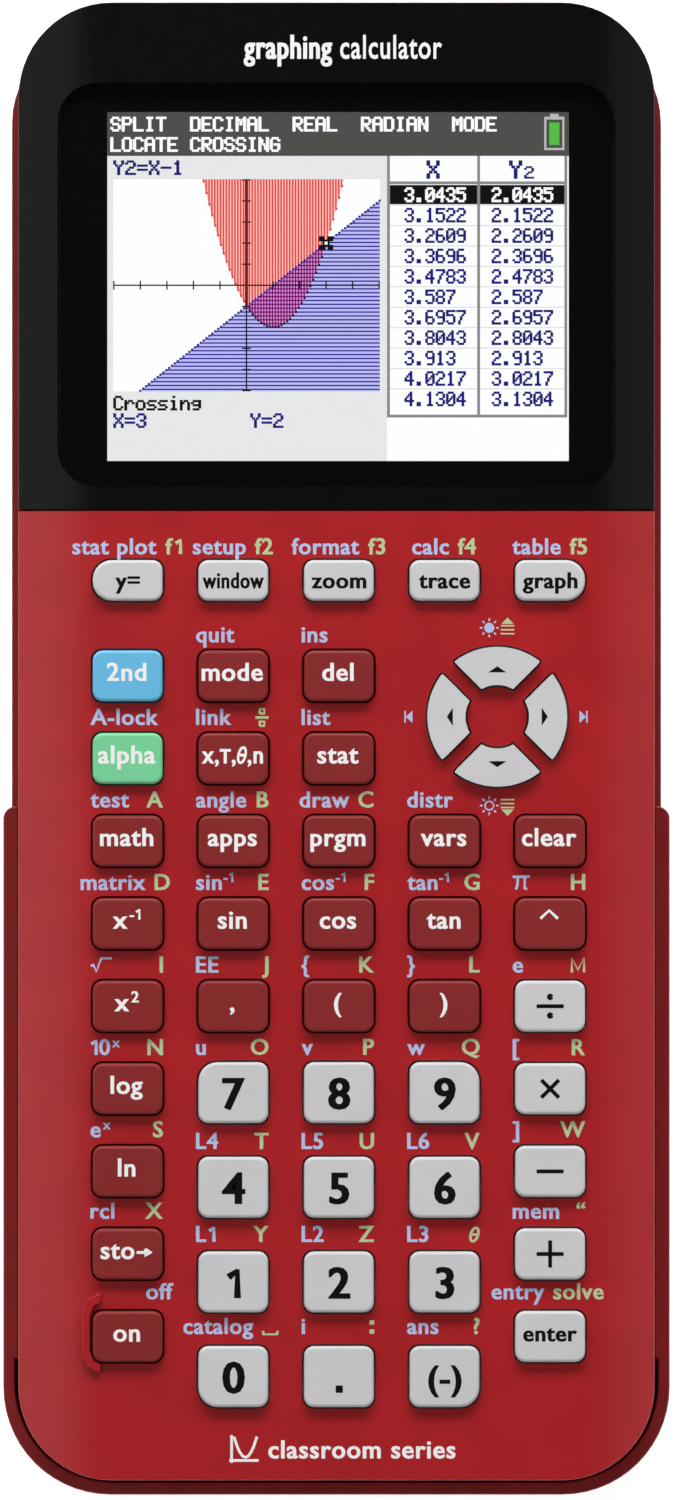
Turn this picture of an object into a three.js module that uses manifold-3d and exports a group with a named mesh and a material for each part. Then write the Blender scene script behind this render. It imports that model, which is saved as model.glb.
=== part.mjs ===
// A handheld graphing calculator lying on its back in its slide-on cover.
// Millimetres. +Z points up out of the key face, +Y towards the display end, +X to the right.
// The origin is on the table, under the middle of the covered calculator.
import * as THREE from 'three';
import { mergeVertices } from 'three/addons/utils/BufferGeometryUtils.js';
import Module from 'manifold-3d';

const wasm = await Module();
wasm.setup();

// ---- Driving dimensions ---------------------------------------------------------------

// Calculator body, in plan
const bodyWidth = 80.2;
const bodyLength = 186.2;
const bodyCorner = 11.8;
const railReach = 0.98; // how far the slide rail stands out past the body's side
const railShort = 3; // the rail stops this far short of the display end
const trayInset = 1.3; // the back tray is this much narrower than the body, each side

// Heights
const bodyHeight = 14.1; // back face to key face
const trayHeight = 4.3; // height of the back housing
const railHeight = 1.6;
const seamGap = 0.3; // between the two housings, and between stacked inner parts

// Walls
const facePlate = 1.6;
const frontWall = 1.8;
const backFloor = 1.5;
const backWall = 1.5;
const backRound = 2.4; // rounded edge round the back face

// Crowned key face: flat in the middle, falling away to both sides
const slopeWidth = 10.1; // from the body's side in to the flat
const crownRadius = 32.5;
const edgeRadius = 1;

// Slide cover
const coverFloor = 1.6;
const coverWall = 0.82; // outside the rail
const coverEndWall = 2;
const coverLip = 1.2; // hooks over the rail
const coverRound = 2.8;
const coverShort = 1.2; // the cover's open end stops this far short of the display end
const lowWall = 1.3; // the cover's low side wall beside the display half
const gripLength = 86.9; // the part of the cover whose walls reach over the rail
const gripCorner = 1.1;
const railGap = 0.25;
const lipGap = 0.15;
const endGap = 0.2;
const underGap = 0.5; // the back housing clears the cover's floor

// Keypad
const columnPitch = 13.3;
const rowPitch = 10.4;
const numberPitch = 11.92;
const keyWidth = 8.8;
const keypadShift = 0.3; // the keypad's middle lies this far right of the body's
const keyHeight = 6.4;
const menuKeyHeight = 5.1;
const numberKeyHeight = 7.65;
const keyCorner = 1.25;
const outerCorner = 2.4; // the rounder corner at the outside of a group of keys
const keyProud = 1.2;
const keyTravel = 0.9;
const keyClearance = 0.25;
const flangeReach = 0.6;
const flangeThick = 0.8;
const menuRowDrop = 9.03; // bezel edge down to the middle of the menu row
const firstRowDrop = 21.05; // bezel edge down to the first function row
const numberRowDrop = 73.54; // bezel edge down to the first row of digits
const padRadius = 8.8;
const padHole = 4;
const padGap = 2.1; // between neighbouring arrow keys
const padDrop = 26.2; // bezel edge down to the middle of the arrow keys

// Dome sheet and circuit board under the keys
const domeHeight = 0.7;
const domeTop = 1.5; // radius
const domeFoot = 2.3; // radius
const sheetThick = 0.6;
const sheetMargin = 0.4; // sheet beyond the outermost key flange
const boardThick = 1;
const boardMargin = 1; // board to the inside of the housing wall
const chipSize = [14, 14, 1.2];
const chipDrop = 22; // chip's middle below the bezel edge
const socketWidth = 7.7;
const socketHeight = 3.5;
const socketDepth = 9;
const socketMouth = [6.9, 3];
const socketPocket = 6.5;
const socketFromTop = 24;
const socketSink = 0.4; // let into the board's underside

// Display
const windowWidth = 70;
const windowHeight = 50.6;
const windowCorner = 4.8;
const windowThick = 1.15;
const windowSink = 0.3; // below the bezel's face
const windowFromTop = 10.3; // display end down to the window
const windowClearance = 0.15;
const activeWidth = 58.2;
const activeHeight = 44;
const activeMargin = 0.6; // bezel opening beyond the lit area
const panelWidth = 64;
const panelHeight = 50.4;
const panelThick = 1.6;
const panelClearance = 0.3;

// Bezel
const bezelChin = 2.9; // window down to the bezel's lower edge
const bezelPlate = 2.4;
const bezelLedge = 0.8; // carries the window
const bezelSkirt = 1.2;
const framePlate = 1.2; // front housing under the bezel
const frameWall = 1.4;
const indicatorRadius = 0.8;
const indicatorOffset = 8; // from the socket

// Battery and its cover
const batterySize = [52, 40];
const batteryHeadroom = 1.3; // under the circuit board
const batteryCorner = 2;
const batteryFromTop = 30; // display end down to the battery
const doorMargin = 2.5; // door beyond the battery
const doorThick = 1.2;
const doorCorner = 3;
const doorClearance = 0.3;
const doorTab = [9, 3.4, 0.9];
const doorTabSpacing = 26;

// Screws that hold the housings together
const bossRadius = 1.9;
const turretRadius = 2.5;
const screwHole = 1.1;
const pilotHole = 0.85;
const headHole = 1.8;
const headDepth = 2.6;
const bossFromEnd = 11;
const bossClearance = 0.35; // to the dome sheet
const bossToPanel = 0.4;
const middleBossDrop = 34; // bezel edge down to the middle pair
const bossMeeting = 1.9; // the screw posts meet this far below the board
const resetHole = 0.8;
const resetDrop = 14; // bezel edge down to the reset hole

// Raised guard beside the on key
const guardGap = 0.5;
const guardWall = 1;
const guardProud = 0.55;
const guardReach = 1.6; // how far the guard's ends run past the key's side

// ---- Worked-out places ----------------------------------------------------------------

const flatHalfWidth = bodyWidth / 2 - slopeWidth;
const overallLength = bodyLength + endGap + coverEndWall;
const topY = overallLength / 2;
const bodyBottomY = topY - bodyLength;
const bodyMiddleY = topY - bodyLength / 2;
const coverBottomY = -overallLength / 2;

const backZ = coverFloor + underGap;
const faceZ = backZ + bodyHeight;
const trayTopZ = backZ + trayHeight;
const frontZ = trayTopZ + seamGap;
const railZ = trayTopZ - railHeight;

const plateUnderZ = faceZ - facePlate;
const flangeTopZ = plateUnderZ - seamGap;
const flangeBottomZ = flangeTopZ - flangeThick;
const domeTopZ = flangeBottomZ - seamGap;
const keyTopZ = faceZ + keyProud;

const windowTopZ = faceZ - windowSink;
const ledgeTopZ = windowTopZ - windowThick - windowClearance;
const ledgeBottomZ = faceZ - bezelPlate;
const panelTopZ = ledgeBottomZ - seamGap;
const panelBottomZ = panelTopZ - panelThick;
const frameTopZ = ledgeBottomZ - seamGap;
const frameInset = bezelSkirt + seamGap;

// The board lies under both the dome sheet and the display panel.
const boardTopZ = Math.min(domeTopZ - domeHeight - sheetThick, panelBottomZ) - seamGap;
const boardBottomZ = boardTopZ - boardThick;
const sheetTopZ = boardTopZ + seamGap + sheetThick;
const sheetHalfWidth = 2 * columnPitch + keypadShift + keyWidth / 2 + flangeReach + sheetMargin;

const windowY = topY - windowFromTop - windowHeight / 2;
const bezelEdgeY = topY - windowFromTop - windowHeight - bezelChin;
const padX = 1.5 * columnPitch + keypadShift;
const padY = bezelEdgeY - padDrop;
const socketY = topY - socketFromTop;
const socketTopZ = boardBottomZ + socketSink;
const socketX = bodyWidth / 2 - frameInset - socketDepth / 2;
const batteryY = topY - batteryFromTop - batterySize[1] / 2;
const batteryZ = backZ + backFloor + seamGap;
const doorSize = [batterySize[0] + 2 * doorMargin, batterySize[1] + 2 * doorMargin];
const batteryHeight = boardBottomZ - batteryHeadroom - batteryZ;
const bossZ = boardBottomZ - bossMeeting;

const besideSheet = sheetHalfWidth + bossClearance + bossRadius;
const bossPlaces = [
  [panelWidth / 2 + bossToPanel + bossRadius, topY - bossFromEnd],
  [besideSheet, bezelEdgeY - middleBossDrop],
  [besideSheet, bodyBottomY + bossFromEnd],
].flatMap(([x, y]) => [[-x, y], [x, y]]);

// ---- Shapes and solids ----------------------------------------------------------------

// Rounded rectangle about (x, y). Corners run lower left, lower right, upper right, upper left.
function roundedRectangle(width, height, corners, x = 0, y = 0) {
  const [lowerLeft, lowerRight, upperRight, upperLeft] = [corners].flat().length === 4
    ? corners
    : [corners, corners, corners, corners];
  const [left, right, bottom, top] = [x - width / 2, x + width / 2, y - height / 2, y + height / 2];
  const quarter = Math.PI / 2;
  const shape = new THREE.Shape();
  shape.absarc(left + lowerLeft, bottom + lowerLeft, lowerLeft, 2 * quarter, 3 * quarter);
  shape.absarc(right - lowerRight, bottom + lowerRight, lowerRight, 3 * quarter, 4 * quarter);
  shape.absarc(right - upperRight, top - upperRight, upperRight, 0, quarter);
  shape.absarc(left + upperLeft, top - upperLeft, upperLeft, quarter, 2 * quarter);
  return shape;
}

function solidOf(geometry) {
  const bare = geometry.index ? geometry.toNonIndexed() : geometry.clone();
  bare.deleteAttribute('normal');
  bare.deleteAttribute('uv');
  const merged = mergeVertices(bare, 1e-4);
  return new wasm.Manifold(new wasm.Mesh({
    numProp: 3,
    vertProperties: merged.attributes.position.array,
    triVerts: new Uint32Array(merged.index.array),
  }));
}

function geometryOf(solid) {
  const { vertProperties, triVerts } = solid.getMesh();
  const geometry = new THREE.BufferGeometry();
  geometry.setAttribute('position', new THREE.BufferAttribute(vertProperties, 3));
  geometry.setIndex(new THREE.BufferAttribute(triVerts, 1));
  geometry.computeVertexNormals();
  return geometry;
}

// A flat shape raised from z = low to z = high.
function slab(shape, low, high, curveSegments = 1) {
  const settings = { depth: high - low, bevelEnabled: false, curveSegments };
  return solidOf(new THREE.ExtrudeGeometry(shape, settings).translate(0, 0, low));
}

// The same with its lower edge rounded.
function dish(shape, low, high, round, curveSegments = 2) {
  const settings = {
    depth: high - low,
    bevelThickness: round,
    bevelSize: round,
    bevelOffset: -round,
    bevelSegments: 3,
    curveSegments,
  };
  const whole = solidOf(new THREE.ExtrudeGeometry(shape, settings).translate(0, 0, low + round));
  return whole.intersect(block([0, 0, low], [2 * bodyWidth, 3 * bodyLength, high - low]));
}

// A box by the middle of its underside and its size.
function block([x, y, z], [width, length, height]) {
  return solidOf(new THREE.BoxGeometry(width, length, height).translate(x, y, z + height / 2));
}

// An upright round post or hole, straight or tapered.
function post(x, y, low, high, radius, topRadius = radius, sides = 10) {
  const cylinder = new THREE.CylinderGeometry(topRadius, radius, high - low, sides);
  return solidOf(cylinder.rotateX(Math.PI / 2).translate(x, y, (low + high) / 2));
}

function joined(solids) {
  return solids.reduce((all, one) => all.add(one));
}

const calculator = new THREE.Group();

function part(name, solid, material, x = 0, y = 0) {
  const mesh = new THREE.Mesh(solid.isBufferGeometry ? solid : geometryOf(solid), material);
  mesh.name = name;
  mesh.position.set(x, y, 0);
  calculator.add(mesh);
}

// ---- Finishes -------------------------------------------------------------------------

function finish(color, roughness, metalness = 0) {
  return new THREE.MeshStandardMaterial({ color, roughness, metalness });
}

const redShell = finish(0xaa262b, 0.42);
const blackGloss = finish(0x101010, 0.15);
const clearWindow = finish(0x1a1c1e, 0.05);
const darkRedKey = finish(0x862b2f, 0.5);
const lightKey = finish(0xc9c9cc, 0.45);
const blueKey = finish(0x6fc0e5, 0.45);
const greenKey = finish(0x7dd6a2, 0.45);
const panelMetal = finish(0xb8bcc0, 0.35, 0.8);
const boardGreen = finish(0x1f5a34, 0.5);
const siliconeGrey = finish(0xc4c4c0, 0.7);
const batteryWrap = finish(0x3b4450, 0.55);

// ---- Key layout -----------------------------------------------------------------------

const columns = [-2, -1, 0, 1, 2].map((step) => step * columnPitch + keypadShift);

// One entry for each key: name, middle, size, corners and finish.
function keyRow(names, y, height, material, firstColumn = 0) {
  return names.map((name, i) => ({
    name,
    x: columns[firstColumn + i],
    y,
    height,
    corners: [keyCorner, keyCorner, keyCorner, keyCorner],
    material,
  }));
}

const menuY = bezelEdgeY - menuRowDrop;
const rowY = (row) => bezelEdgeY - firstRowDrop - row * rowPitch;
const numberY = (row) => bezelEdgeY - numberRowDrop - row * numberPitch;

const menuKeys = keyRow(
  ['key_y_equals', 'key_window', 'key_zoom', 'key_trace', 'key_graph'],
  menuY, menuKeyHeight, lightKey,
);
const functionKeys = [
  ['key_second', 'key_mode', 'key_delete'],
  ['key_alpha', 'key_variable', 'key_statistics'],
  ['key_math', 'key_tools', 'key_program', 'key_variables', 'key_clear'],
  ['key_inverse', 'key_sin', 'key_cos', 'key_tan', 'key_power'],
  ['key_square', 'key_comma', 'key_left_bracket', 'key_right_bracket', 'key_divide'],
  ['key_log'],
  ['key_ln'],
  ['key_store'],
  ['key_on'],
].flatMap((names, row) => keyRow(names, rowY(row), keyHeight, darkRedKey));
const operatorKeys = ['key_multiply', 'key_minus', 'key_plus', 'key_enter']
  .flatMap((name, i) => keyRow([name], rowY(5 + i), keyHeight, lightKey, 4));
const numberKeys = [
  ['key_7', 'key_8', 'key_9'],
  ['key_4', 'key_5', 'key_6'],
  ['key_1', 'key_2', 'key_3'],
  ['key_0', 'key_point', 'key_negative'],
].flatMap((names, row) => keyRow(names, numberY(row), numberKeyHeight, lightKey, 1));
const keys = [...menuKeys, ...functionKeys, ...operatorKeys, ...numberKeys];
const keyNamed = (name) => keys.find((key) => key.name === name);

keyNamed('key_second').material = blueKey;
keyNamed('key_alpha').material = greenKey;
keyNamed('key_divide').material = lightKey;
// Corners of the outermost keys in a group are rounder.
for (const [name, outer] of [
  ['key_y_equals', [0, 3]],
  ['key_graph', [1, 2]],
  ['key_7', [3]],
  ['key_9', [2]],
  ['key_0', [0]],
  ['key_negative', [1]],
]) {
  for (const corner of outer) keyNamed(name).corners[corner] = outerCorner;
}

const arrowKeys = ['key_right', 'key_up', 'key_left', 'key_down'].map((name, turn) => ({ name, turn }));

// One of the four arrow keys, grown by a margin: a ring sector whose sides keep an even gap to its neighbours.
function arrowShape(turn, margin) {
  const [outer, inner, halfGap] = [padRadius + margin, padHole - margin, padGap / 2 - margin];
  const middle = turn * Math.PI / 2;
  const outerHalf = Math.PI / 4 - Math.asin(halfGap / outer);
  const innerHalf = Math.PI / 4 - Math.asin(halfGap / inner);
  const shape = new THREE.Shape();
  shape.absarc(0, 0, outer, middle - outerHalf, middle + outerHalf, false);
  shape.absarc(0, 0, inner, middle + innerHalf, middle - innerHalf, true);
  return shape;
}

function keyShape({ height, corners }, margin = 0) {
  const grown = corners.map((radius) => radius + margin);
  return roundedRectangle(keyWidth + 2 * margin, height + 2 * margin, grown);
}

// ---- Outer form shared by the front housing and the bezel -------------------------------

// Cross-section of the crowned face, symmetrical about x = 0, from z = low to the face.
function crownShape(half, low, top) {
  const crownZ = top - crownRadius;
  const reach = half - edgeRadius - flatHalfWidth;
  const fillZ = crownZ + Math.sqrt((crownRadius - edgeRadius) ** 2 - reach ** 2);
  const meet = Math.atan2(fillZ - crownZ, reach);
  const shape = new THREE.Shape();
  shape.moveTo(-half, low);
  shape.lineTo(half, low);
  shape.absarc(half - edgeRadius, fillZ, edgeRadius, 0, meet);
  shape.absarc(flatHalfWidth, crownZ, crownRadius, meet, Math.PI / 2);
  shape.absarc(-flatHalfWidth, crownZ, crownRadius, Math.PI / 2, Math.PI - meet);
  shape.absarc(-half + edgeRadius, fillZ, edgeRadius, Math.PI - meet, Math.PI);
  return shape;
}

// The crowned block above z = low, inset from the body's sides and lowered from its face.
function crownedBlock(low, inset, lowered) {
  const outline = roundedRectangle(
    bodyWidth - 2 * inset, bodyLength - 2 * inset, bodyCorner - inset, 0, bodyMiddleY,
  );
  const settings = { depth: 2 * bodyLength, bevelEnabled: false, curveSegments: 2 };
  const across = new THREE.ExtrudeGeometry(crownShape(bodyWidth / 2, low - 1, faceZ - lowered), settings);
  const crown = solidOf(across.translate(0, 0, -bodyLength).rotateX(Math.PI / 2));
  return slab(outline, low, faceZ + 1, 3).intersect(crown);
}

// Everything on the display side, or the keypad side, of a line across the body.
function sideOf(y, direction) {
  return block([0, y + direction * bodyLength, 0], [2 * bodyWidth, 2 * bodyLength, 4 * bodyHeight]);
}

// ---- Keys -----------------------------------------------------------------------------

function keySolid(shape, flange) {
  return slab(shape, flangeTopZ - seamGap, keyTopZ).add(slab(flange, flangeBottomZ, flangeTopZ));
}

for (const key of keys) {
  const flange = roundedRectangle(keyWidth + 2 * flangeReach, key.height + 2 * flangeReach, keyCorner);
  part(key.name, keySolid(keyShape(key), flange), key.material, key.x, key.y);
}
for (const { name, turn } of arrowKeys) {
  part(name, keySolid(arrowShape(turn, 0), arrowShape(turn, flangeReach)), lightKey, padX, padY);
}

// ---- Front housing --------------------------------------------------------------------

const wallRight = bodyWidth / 2;
const socketWindow = (depthLow, depthHigh, margin) => block(
  [(depthLow + depthHigh) / 2, socketY, socketTopZ - socketHeight - margin],
  [depthHigh - depthLow, socketWidth + 2 * margin, socketHeight + 2 * margin],
);
const indicatorHole = solidOf(
  new THREE.CylinderGeometry(indicatorRadius, indicatorRadius, 2 * bezelSkirt + 2 * frameWall, 8)
    .rotateZ(Math.PI / 2)
    .translate(wallRight - bezelSkirt - frameWall / 2, socketY - indicatorOffset, socketTopZ - socketHeight / 2),
);

function frontHousing() {
  const lower = crownedBlock(frontZ, 0, 0)
    .subtract(crownedBlock(frontZ - 1, frontWall, facePlate))
    .intersect(sideOf(bezelEdgeY - seamGap, -1));
  const frameOutline = (inset) => roundedRectangle(
    bodyWidth - 2 * inset, bodyLength - 2 * inset, bodyCorner - inset, 0, bodyMiddleY,
  );
  const upper = slab(frameOutline(frameInset), frontZ, frameTopZ, 3)
    .subtract(slab(frameOutline(frameInset + frameWall), frontZ - 1, frameTopZ - framePlate, 3))
    .intersect(sideOf(bezelEdgeY - seamGap - facePlate, 1));
  const room = block(
    [0, windowY, frameTopZ - 2 * framePlate],
    [panelWidth + 2 * panelClearance, panelHeight + 2 * panelClearance, 4 * framePlate],
  );
  const openings = keys.map((key) => slab(keyShape(key, keyClearance), plateUnderZ - 1, faceZ + 1)
    .translate(key.x, key.y, 0));
  const arrows = arrowKeys.map(({ turn }) => slab(arrowShape(turn, keyClearance), plateUnderZ - 1, faceZ + 1)
    .translate(padX, padY, 0));
  const bosses = bossPlaces.map(([x, y]) => {
    const under = y > bezelEdgeY ? frameTopZ - framePlate / 2 : plateUnderZ + facePlate / 4;
    return post(x, y, bossZ + seamGap, under, bossRadius);
  });
  const pilots = bossPlaces.map(([x, y]) => post(x, y, bossZ, boardTopZ, pilotHole, pilotHole, 8));
  return lower.add(upper)
    .subtract(room)
    .subtract(joined([...openings, ...arrows]))
    .add(joined(bosses))
    .add(onGuard())
    .subtract(joined(pilots))
    .subtract(socketWindow(wallRight - frameInset - 2 * frameWall, wallRight + 1, seamGap))
    .subtract(indicatorHole);
}

// A raised bracket round the outer side of the on key, so that it isn't pressed by accident.
function onGuard() {
  const key = keyNamed('key_on');
  const ring = (margin, low, high) => slab(keyShape(key, margin), low, high, 2).translate(key.x, key.y, 0);
  const wide = guardGap + guardWall;
  const keep = block(
    [key.x - keyWidth / 2 - wide / 2, key.y, 0],
    [wide + 2 * guardReach, key.height + 4 * wide, 2 * faceZ],
  );
  return ring(wide, faceZ - facePlate / 2, faceZ + guardProud)
    .subtract(ring(guardGap, faceZ - facePlate, faceZ + 2 * guardProud))
    .intersect(keep);
}

part('front_housing', frontHousing(), redShell);

// ---- Display: bezel, window and panel -----------------------------------------------------

function displayBezel() {
  const cap = crownedBlock(frontZ, 0, 0).intersect(sideOf(bezelEdgeY, 1));
  const hollowOutline = roundedRectangle(
    bodyWidth - 2 * bezelSkirt, bodyLength - 2 * bezelSkirt, bodyCorner - bezelSkirt, 0, bodyMiddleY,
  );
  const margin = windowClearance;
  const recess = roundedRectangle(
    windowWidth + 2 * margin, windowHeight + 2 * margin, windowCorner + margin, 0, windowY,
  );
  const opening = block(
    [0, windowY, ledgeBottomZ - 1],
    [activeWidth + 2 * activeMargin, activeHeight + 2 * activeMargin, bezelPlate + 1],
  );
  return cap
    .subtract(slab(hollowOutline, frontZ - 1, ledgeBottomZ, 3))
    .subtract(slab(recess, ledgeTopZ, faceZ + 1, 2))
    .subtract(opening)
    .subtract(socketWindow(wallRight - 2 * bezelSkirt, wallRight + 1, seamGap / 2))
    .subtract(indicatorHole);
}

const windowPane = roundedRectangle(windowWidth, windowHeight, windowCorner, 0, windowY);
part('display_bezel', displayBezel(), blackGloss);
part('display_window', slab(windowPane, windowTopZ - windowThick, windowTopZ, 2), clearWindow);
part(
  'display_panel',
  block([0, windowY, panelBottomZ], [panelWidth, panelHeight, panelThick]),
  panelMetal,
);

// ---- Dome sheet and circuit board -----------------------------------------------------

function domeSheet() {
  const high = menuY + menuKeyHeight / 2 + flangeReach + sheetMargin;
  const low = numberY(3) - numberKeyHeight / 2 - flangeReach - sheetMargin;
  const sheet = block([0, (high + low) / 2, sheetTopZ - sheetThick], [2 * sheetHalfWidth, high - low, sheetThick]);
  const dome = (x, y) => post(x, y, sheetTopZ - sheetThick / 2, domeTopZ, domeFoot, domeTop, 8);
  const padMiddle = (padRadius + padHole) / 2;
  const arrowDomes = arrowKeys.map(({ turn }) => dome(
    padX + padMiddle * Math.cos(turn * Math.PI / 2),
    padY + padMiddle * Math.sin(turn * Math.PI / 2),
  ));
  return joined([sheet, ...keys.map(({ x, y }) => dome(x, y)), ...arrowDomes]);
}

// The board with the parts soldered to it: the processor and the cable socket.
function circuitBoard() {
  const inset = Math.max(frontWall, frameInset + frameWall) + boardMargin;
  const outline = roundedRectangle(
    bodyWidth - 2 * inset, bodyLength - 2 * inset, bodyCorner - inset, 0, bodyMiddleY,
  );
  const notches = bossPlaces.map(([x, y]) => post(x, y, boardBottomZ - 1, boardTopZ + 1, bossRadius + boardMargin / 2));
  const chip = block([0, bezelEdgeY - chipDrop, boardBottomZ - chipSize[2]], [chipSize[0], chipSize[1], 2 * chipSize[2]]);
  const shell = block(
    [socketX, socketY, socketTopZ - socketHeight],
    [socketDepth, socketWidth, socketHeight],
  );
  const mouth = block(
    [socketX + socketDepth / 2, socketY, socketTopZ - socketHeight / 2 - socketMouth[1] / 2],
    [2 * socketPocket, socketMouth[0], socketMouth[1]],
  );
  return slab(outline, boardBottomZ, boardTopZ, 2)
    .subtract(joined(notches))
    .add(chip)
    .add(shell)
    .subtract(mouth);
}

part('dome_sheet', domeSheet(), siliconeGrey);
part('circuit_board', circuitBoard(), boardGreen);

// ---- Back housing, battery and battery cover ------------------------------------------

const trayWidth = bodyWidth - 2 * trayInset;
const trayLength = bodyLength - 2 * trayInset;
const tabY = (side) => batteryY + side * (doorSize[1] / 2);

function backHousing() {
  const tray = roundedRectangle(trayWidth, trayLength, bodyCorner - trayInset, 0, bodyMiddleY);
  const rail = roundedRectangle(
    bodyWidth + 2 * railReach, bodyLength - railShort, bodyCorner, 0, bodyMiddleY - railShort / 2,
  );
  const rim = roundedRectangle(bodyWidth, bodyLength, bodyCorner, 0, bodyMiddleY);
  const inner = roundedRectangle(
    trayWidth - 2 * backWall, trayLength - 2 * backWall, bodyCorner - trayInset - backWall, 0, bodyMiddleY,
  );
  const opening = roundedRectangle(
    doorSize[0] + 2 * doorClearance, doorSize[1] + 2 * doorClearance, doorCorner + doorClearance, 0, batteryY,
  );
  const turrets = bossPlaces.map(([x, y]) => post(x, y, backZ + backFloor / 2, bossZ, turretRadius));
  const holes = bossPlaces.flatMap(([x, y]) => [
    post(x, y, backZ - 1, bossZ + 1, screwHole, screwHole, 8),
    post(x, y, backZ - 1, backZ + headDepth, headHole),
  ]);
  const reset = post(0, bezelEdgeY - resetDrop, backZ - 1, backZ + 2 * backFloor, resetHole, resetHole, 8);
  return dish(tray, backZ, trayTopZ, backRound)
    .add(slab(rim, railZ, trayTopZ, 2))
    .add(slab(rail, railZ, trayTopZ, 2))
    .subtract(slab(inner, backZ + backFloor, trayTopZ + 1, 2))
    .add(joined(turrets))
    .subtract(joined(holes))
    .subtract(slab(opening, backZ - 1, trayTopZ, 2))
    .subtract(socketWindow(socketX - socketDepth, wallRight + 2 * railReach, seamGap))
    .subtract(reset);
}

// The door hooks under the tray's floor with tabs at one end, and a screw holds the other.
function batteryDoor() {
  const plate = roundedRectangle(doorSize[0], doorSize[1], doorCorner, 0, batteryY);
  const tabZ = backZ + backFloor + seamGap;
  const tabs = [-1, 1].map((side) => block(
    [side * doorTabSpacing / 2, tabY(1), backZ + doorThick / 2],
    [doorTab[0], doorTab[1] / 2, tabZ + doorTab[2] - backZ - doorThick / 2],
  ).intersect(block([side * doorTabSpacing / 2, tabY(1) - doorTab[1], 0], [doorTab[0], 2 * doorTab[1], faceZ]))
    .add(block([side * doorTabSpacing / 2, tabY(1), tabZ], doorTab)));
  return slab(plate, backZ, backZ + doorThick, 2).add(joined(tabs));
}

part('back_housing', backHousing(), redShell);
part('battery_cover', batteryDoor(), redShell);
part(
  'battery_pack',
  slab(roundedRectangle(...batterySize, batteryCorner, 0, batteryY), batteryZ, batteryZ + batteryHeight),
  batteryWrap,
);

// ---- Slide cover ----------------------------------------------------------------------

function slideCover() {
  const gripWidth = bodyWidth + 2 * (railReach + railGap + coverWall);
  const gripCornerEnd = bodyCorner + endGap + coverEndWall;
  const wide = roundedRectangle(gripWidth, overallLength, gripCornerEnd);
  const grip = roundedRectangle(
    gripWidth, gripLength, [gripCornerEnd, gripCornerEnd, gripCorner, gripCorner], 0, coverBottomY + gripLength / 2,
  );
  const lowWidth = trayWidth + 2 * (railGap + lowWall);
  const lowLength = overallLength - coverShort;
  const low = roundedRectangle(
    lowWidth, lowLength, [gripCornerEnd, gripCornerEnd, bodyCorner, bodyCorner], 0, coverBottomY + lowLength / 2,
  );
  // Room for the calculator, open at the display end so that the cover slides off it.
  const room = (width, gap, corner) => roundedRectangle(
    width + 2 * gap, 2 * bodyLength + 2 * endGap, corner + gap, 0, bodyBottomY - endGap + bodyLength + endGap,
  );
  const lipZ = trayTopZ + seamGap;
  return dish(wide, 0, lipZ + coverLip, coverRound)
    .intersect(slab(grip, 0, lipZ + coverLip, 3))
    .add(dish(low, 0, railZ - seamGap, coverRound))
    .subtract(dish(room(trayWidth, railGap, bodyCorner - trayInset), coverFloor, railZ, backRound))
    .subtract(slab(room(bodyWidth + 2 * railReach, railGap, bodyCorner), railZ - seamGap, lipZ, 3))
    .subtract(slab(room(bodyWidth, lipGap, bodyCorner), lipZ - 1, faceZ, 3));
}

part('slide_cover', slideCover(), redShell);

export default calculator;
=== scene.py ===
# A handheld graphing calculator on its back in its slide-on cover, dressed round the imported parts.
import math

import bmesh
import bpy
from mathutils import Matrix, Vector


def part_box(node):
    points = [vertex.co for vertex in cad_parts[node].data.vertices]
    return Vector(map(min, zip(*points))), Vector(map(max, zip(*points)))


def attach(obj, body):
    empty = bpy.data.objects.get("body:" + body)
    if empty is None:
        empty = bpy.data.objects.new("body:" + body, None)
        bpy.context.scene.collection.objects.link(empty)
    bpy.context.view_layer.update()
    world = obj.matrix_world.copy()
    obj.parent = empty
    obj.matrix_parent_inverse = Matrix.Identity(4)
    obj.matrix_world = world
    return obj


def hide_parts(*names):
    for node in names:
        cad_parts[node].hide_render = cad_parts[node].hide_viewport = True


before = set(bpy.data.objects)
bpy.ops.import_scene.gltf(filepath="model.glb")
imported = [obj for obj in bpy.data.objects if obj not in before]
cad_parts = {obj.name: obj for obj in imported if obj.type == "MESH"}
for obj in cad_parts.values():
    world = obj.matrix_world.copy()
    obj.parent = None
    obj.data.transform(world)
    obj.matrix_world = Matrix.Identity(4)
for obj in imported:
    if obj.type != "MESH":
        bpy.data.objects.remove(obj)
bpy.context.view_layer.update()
mm = 0.001
body = "calculator"

studio = {
    "distance": 2.0,
    "viewWidth": 189.0 * mm,     # the long side of the view, at the key face
    "aimOffset": (0.13 * mm, 0.01 * mm),
    "floorDrop": 0.03 * mm,
    "floorSize": 4.0,
    "skyOverhead": 0.015,
    "skyAtHorizon": 0.50,
}

# name, direction it comes from, distance, width and length, power
softLights = [
    ("headLight", (0.0, 0.84, 0.54), 1.20, (1.40, 0.40), 17.5),
    ("leftLight", (-0.60, 0.10, 0.80), 1.40, (1.10, 1.40), 3.4),
    ("rightLight", (0.66, 0.0, 0.75), 1.40, (0.80, 1.20), 1.4),
    ("footLight", (0.0, -0.80, 0.60), 1.50, (1.10, 0.50), 2.6),
]


def addCamera():
    data = bpy.data.cameras.new("camera")
    camera = bpy.data.objects.new("camera", data)
    bpy.context.collection.objects.link(camera)
    data.type = "PERSP"
    data.sensor_width = 36
    data.lens = 36 * studio["distance"] / studio["viewWidth"]
    data.clip_end = 10
    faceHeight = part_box("display_window")[1].z
    camera.location = (*studio["aimOffset"], faceHeight + studio["distance"])
    bpy.context.scene.camera = camera


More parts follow.
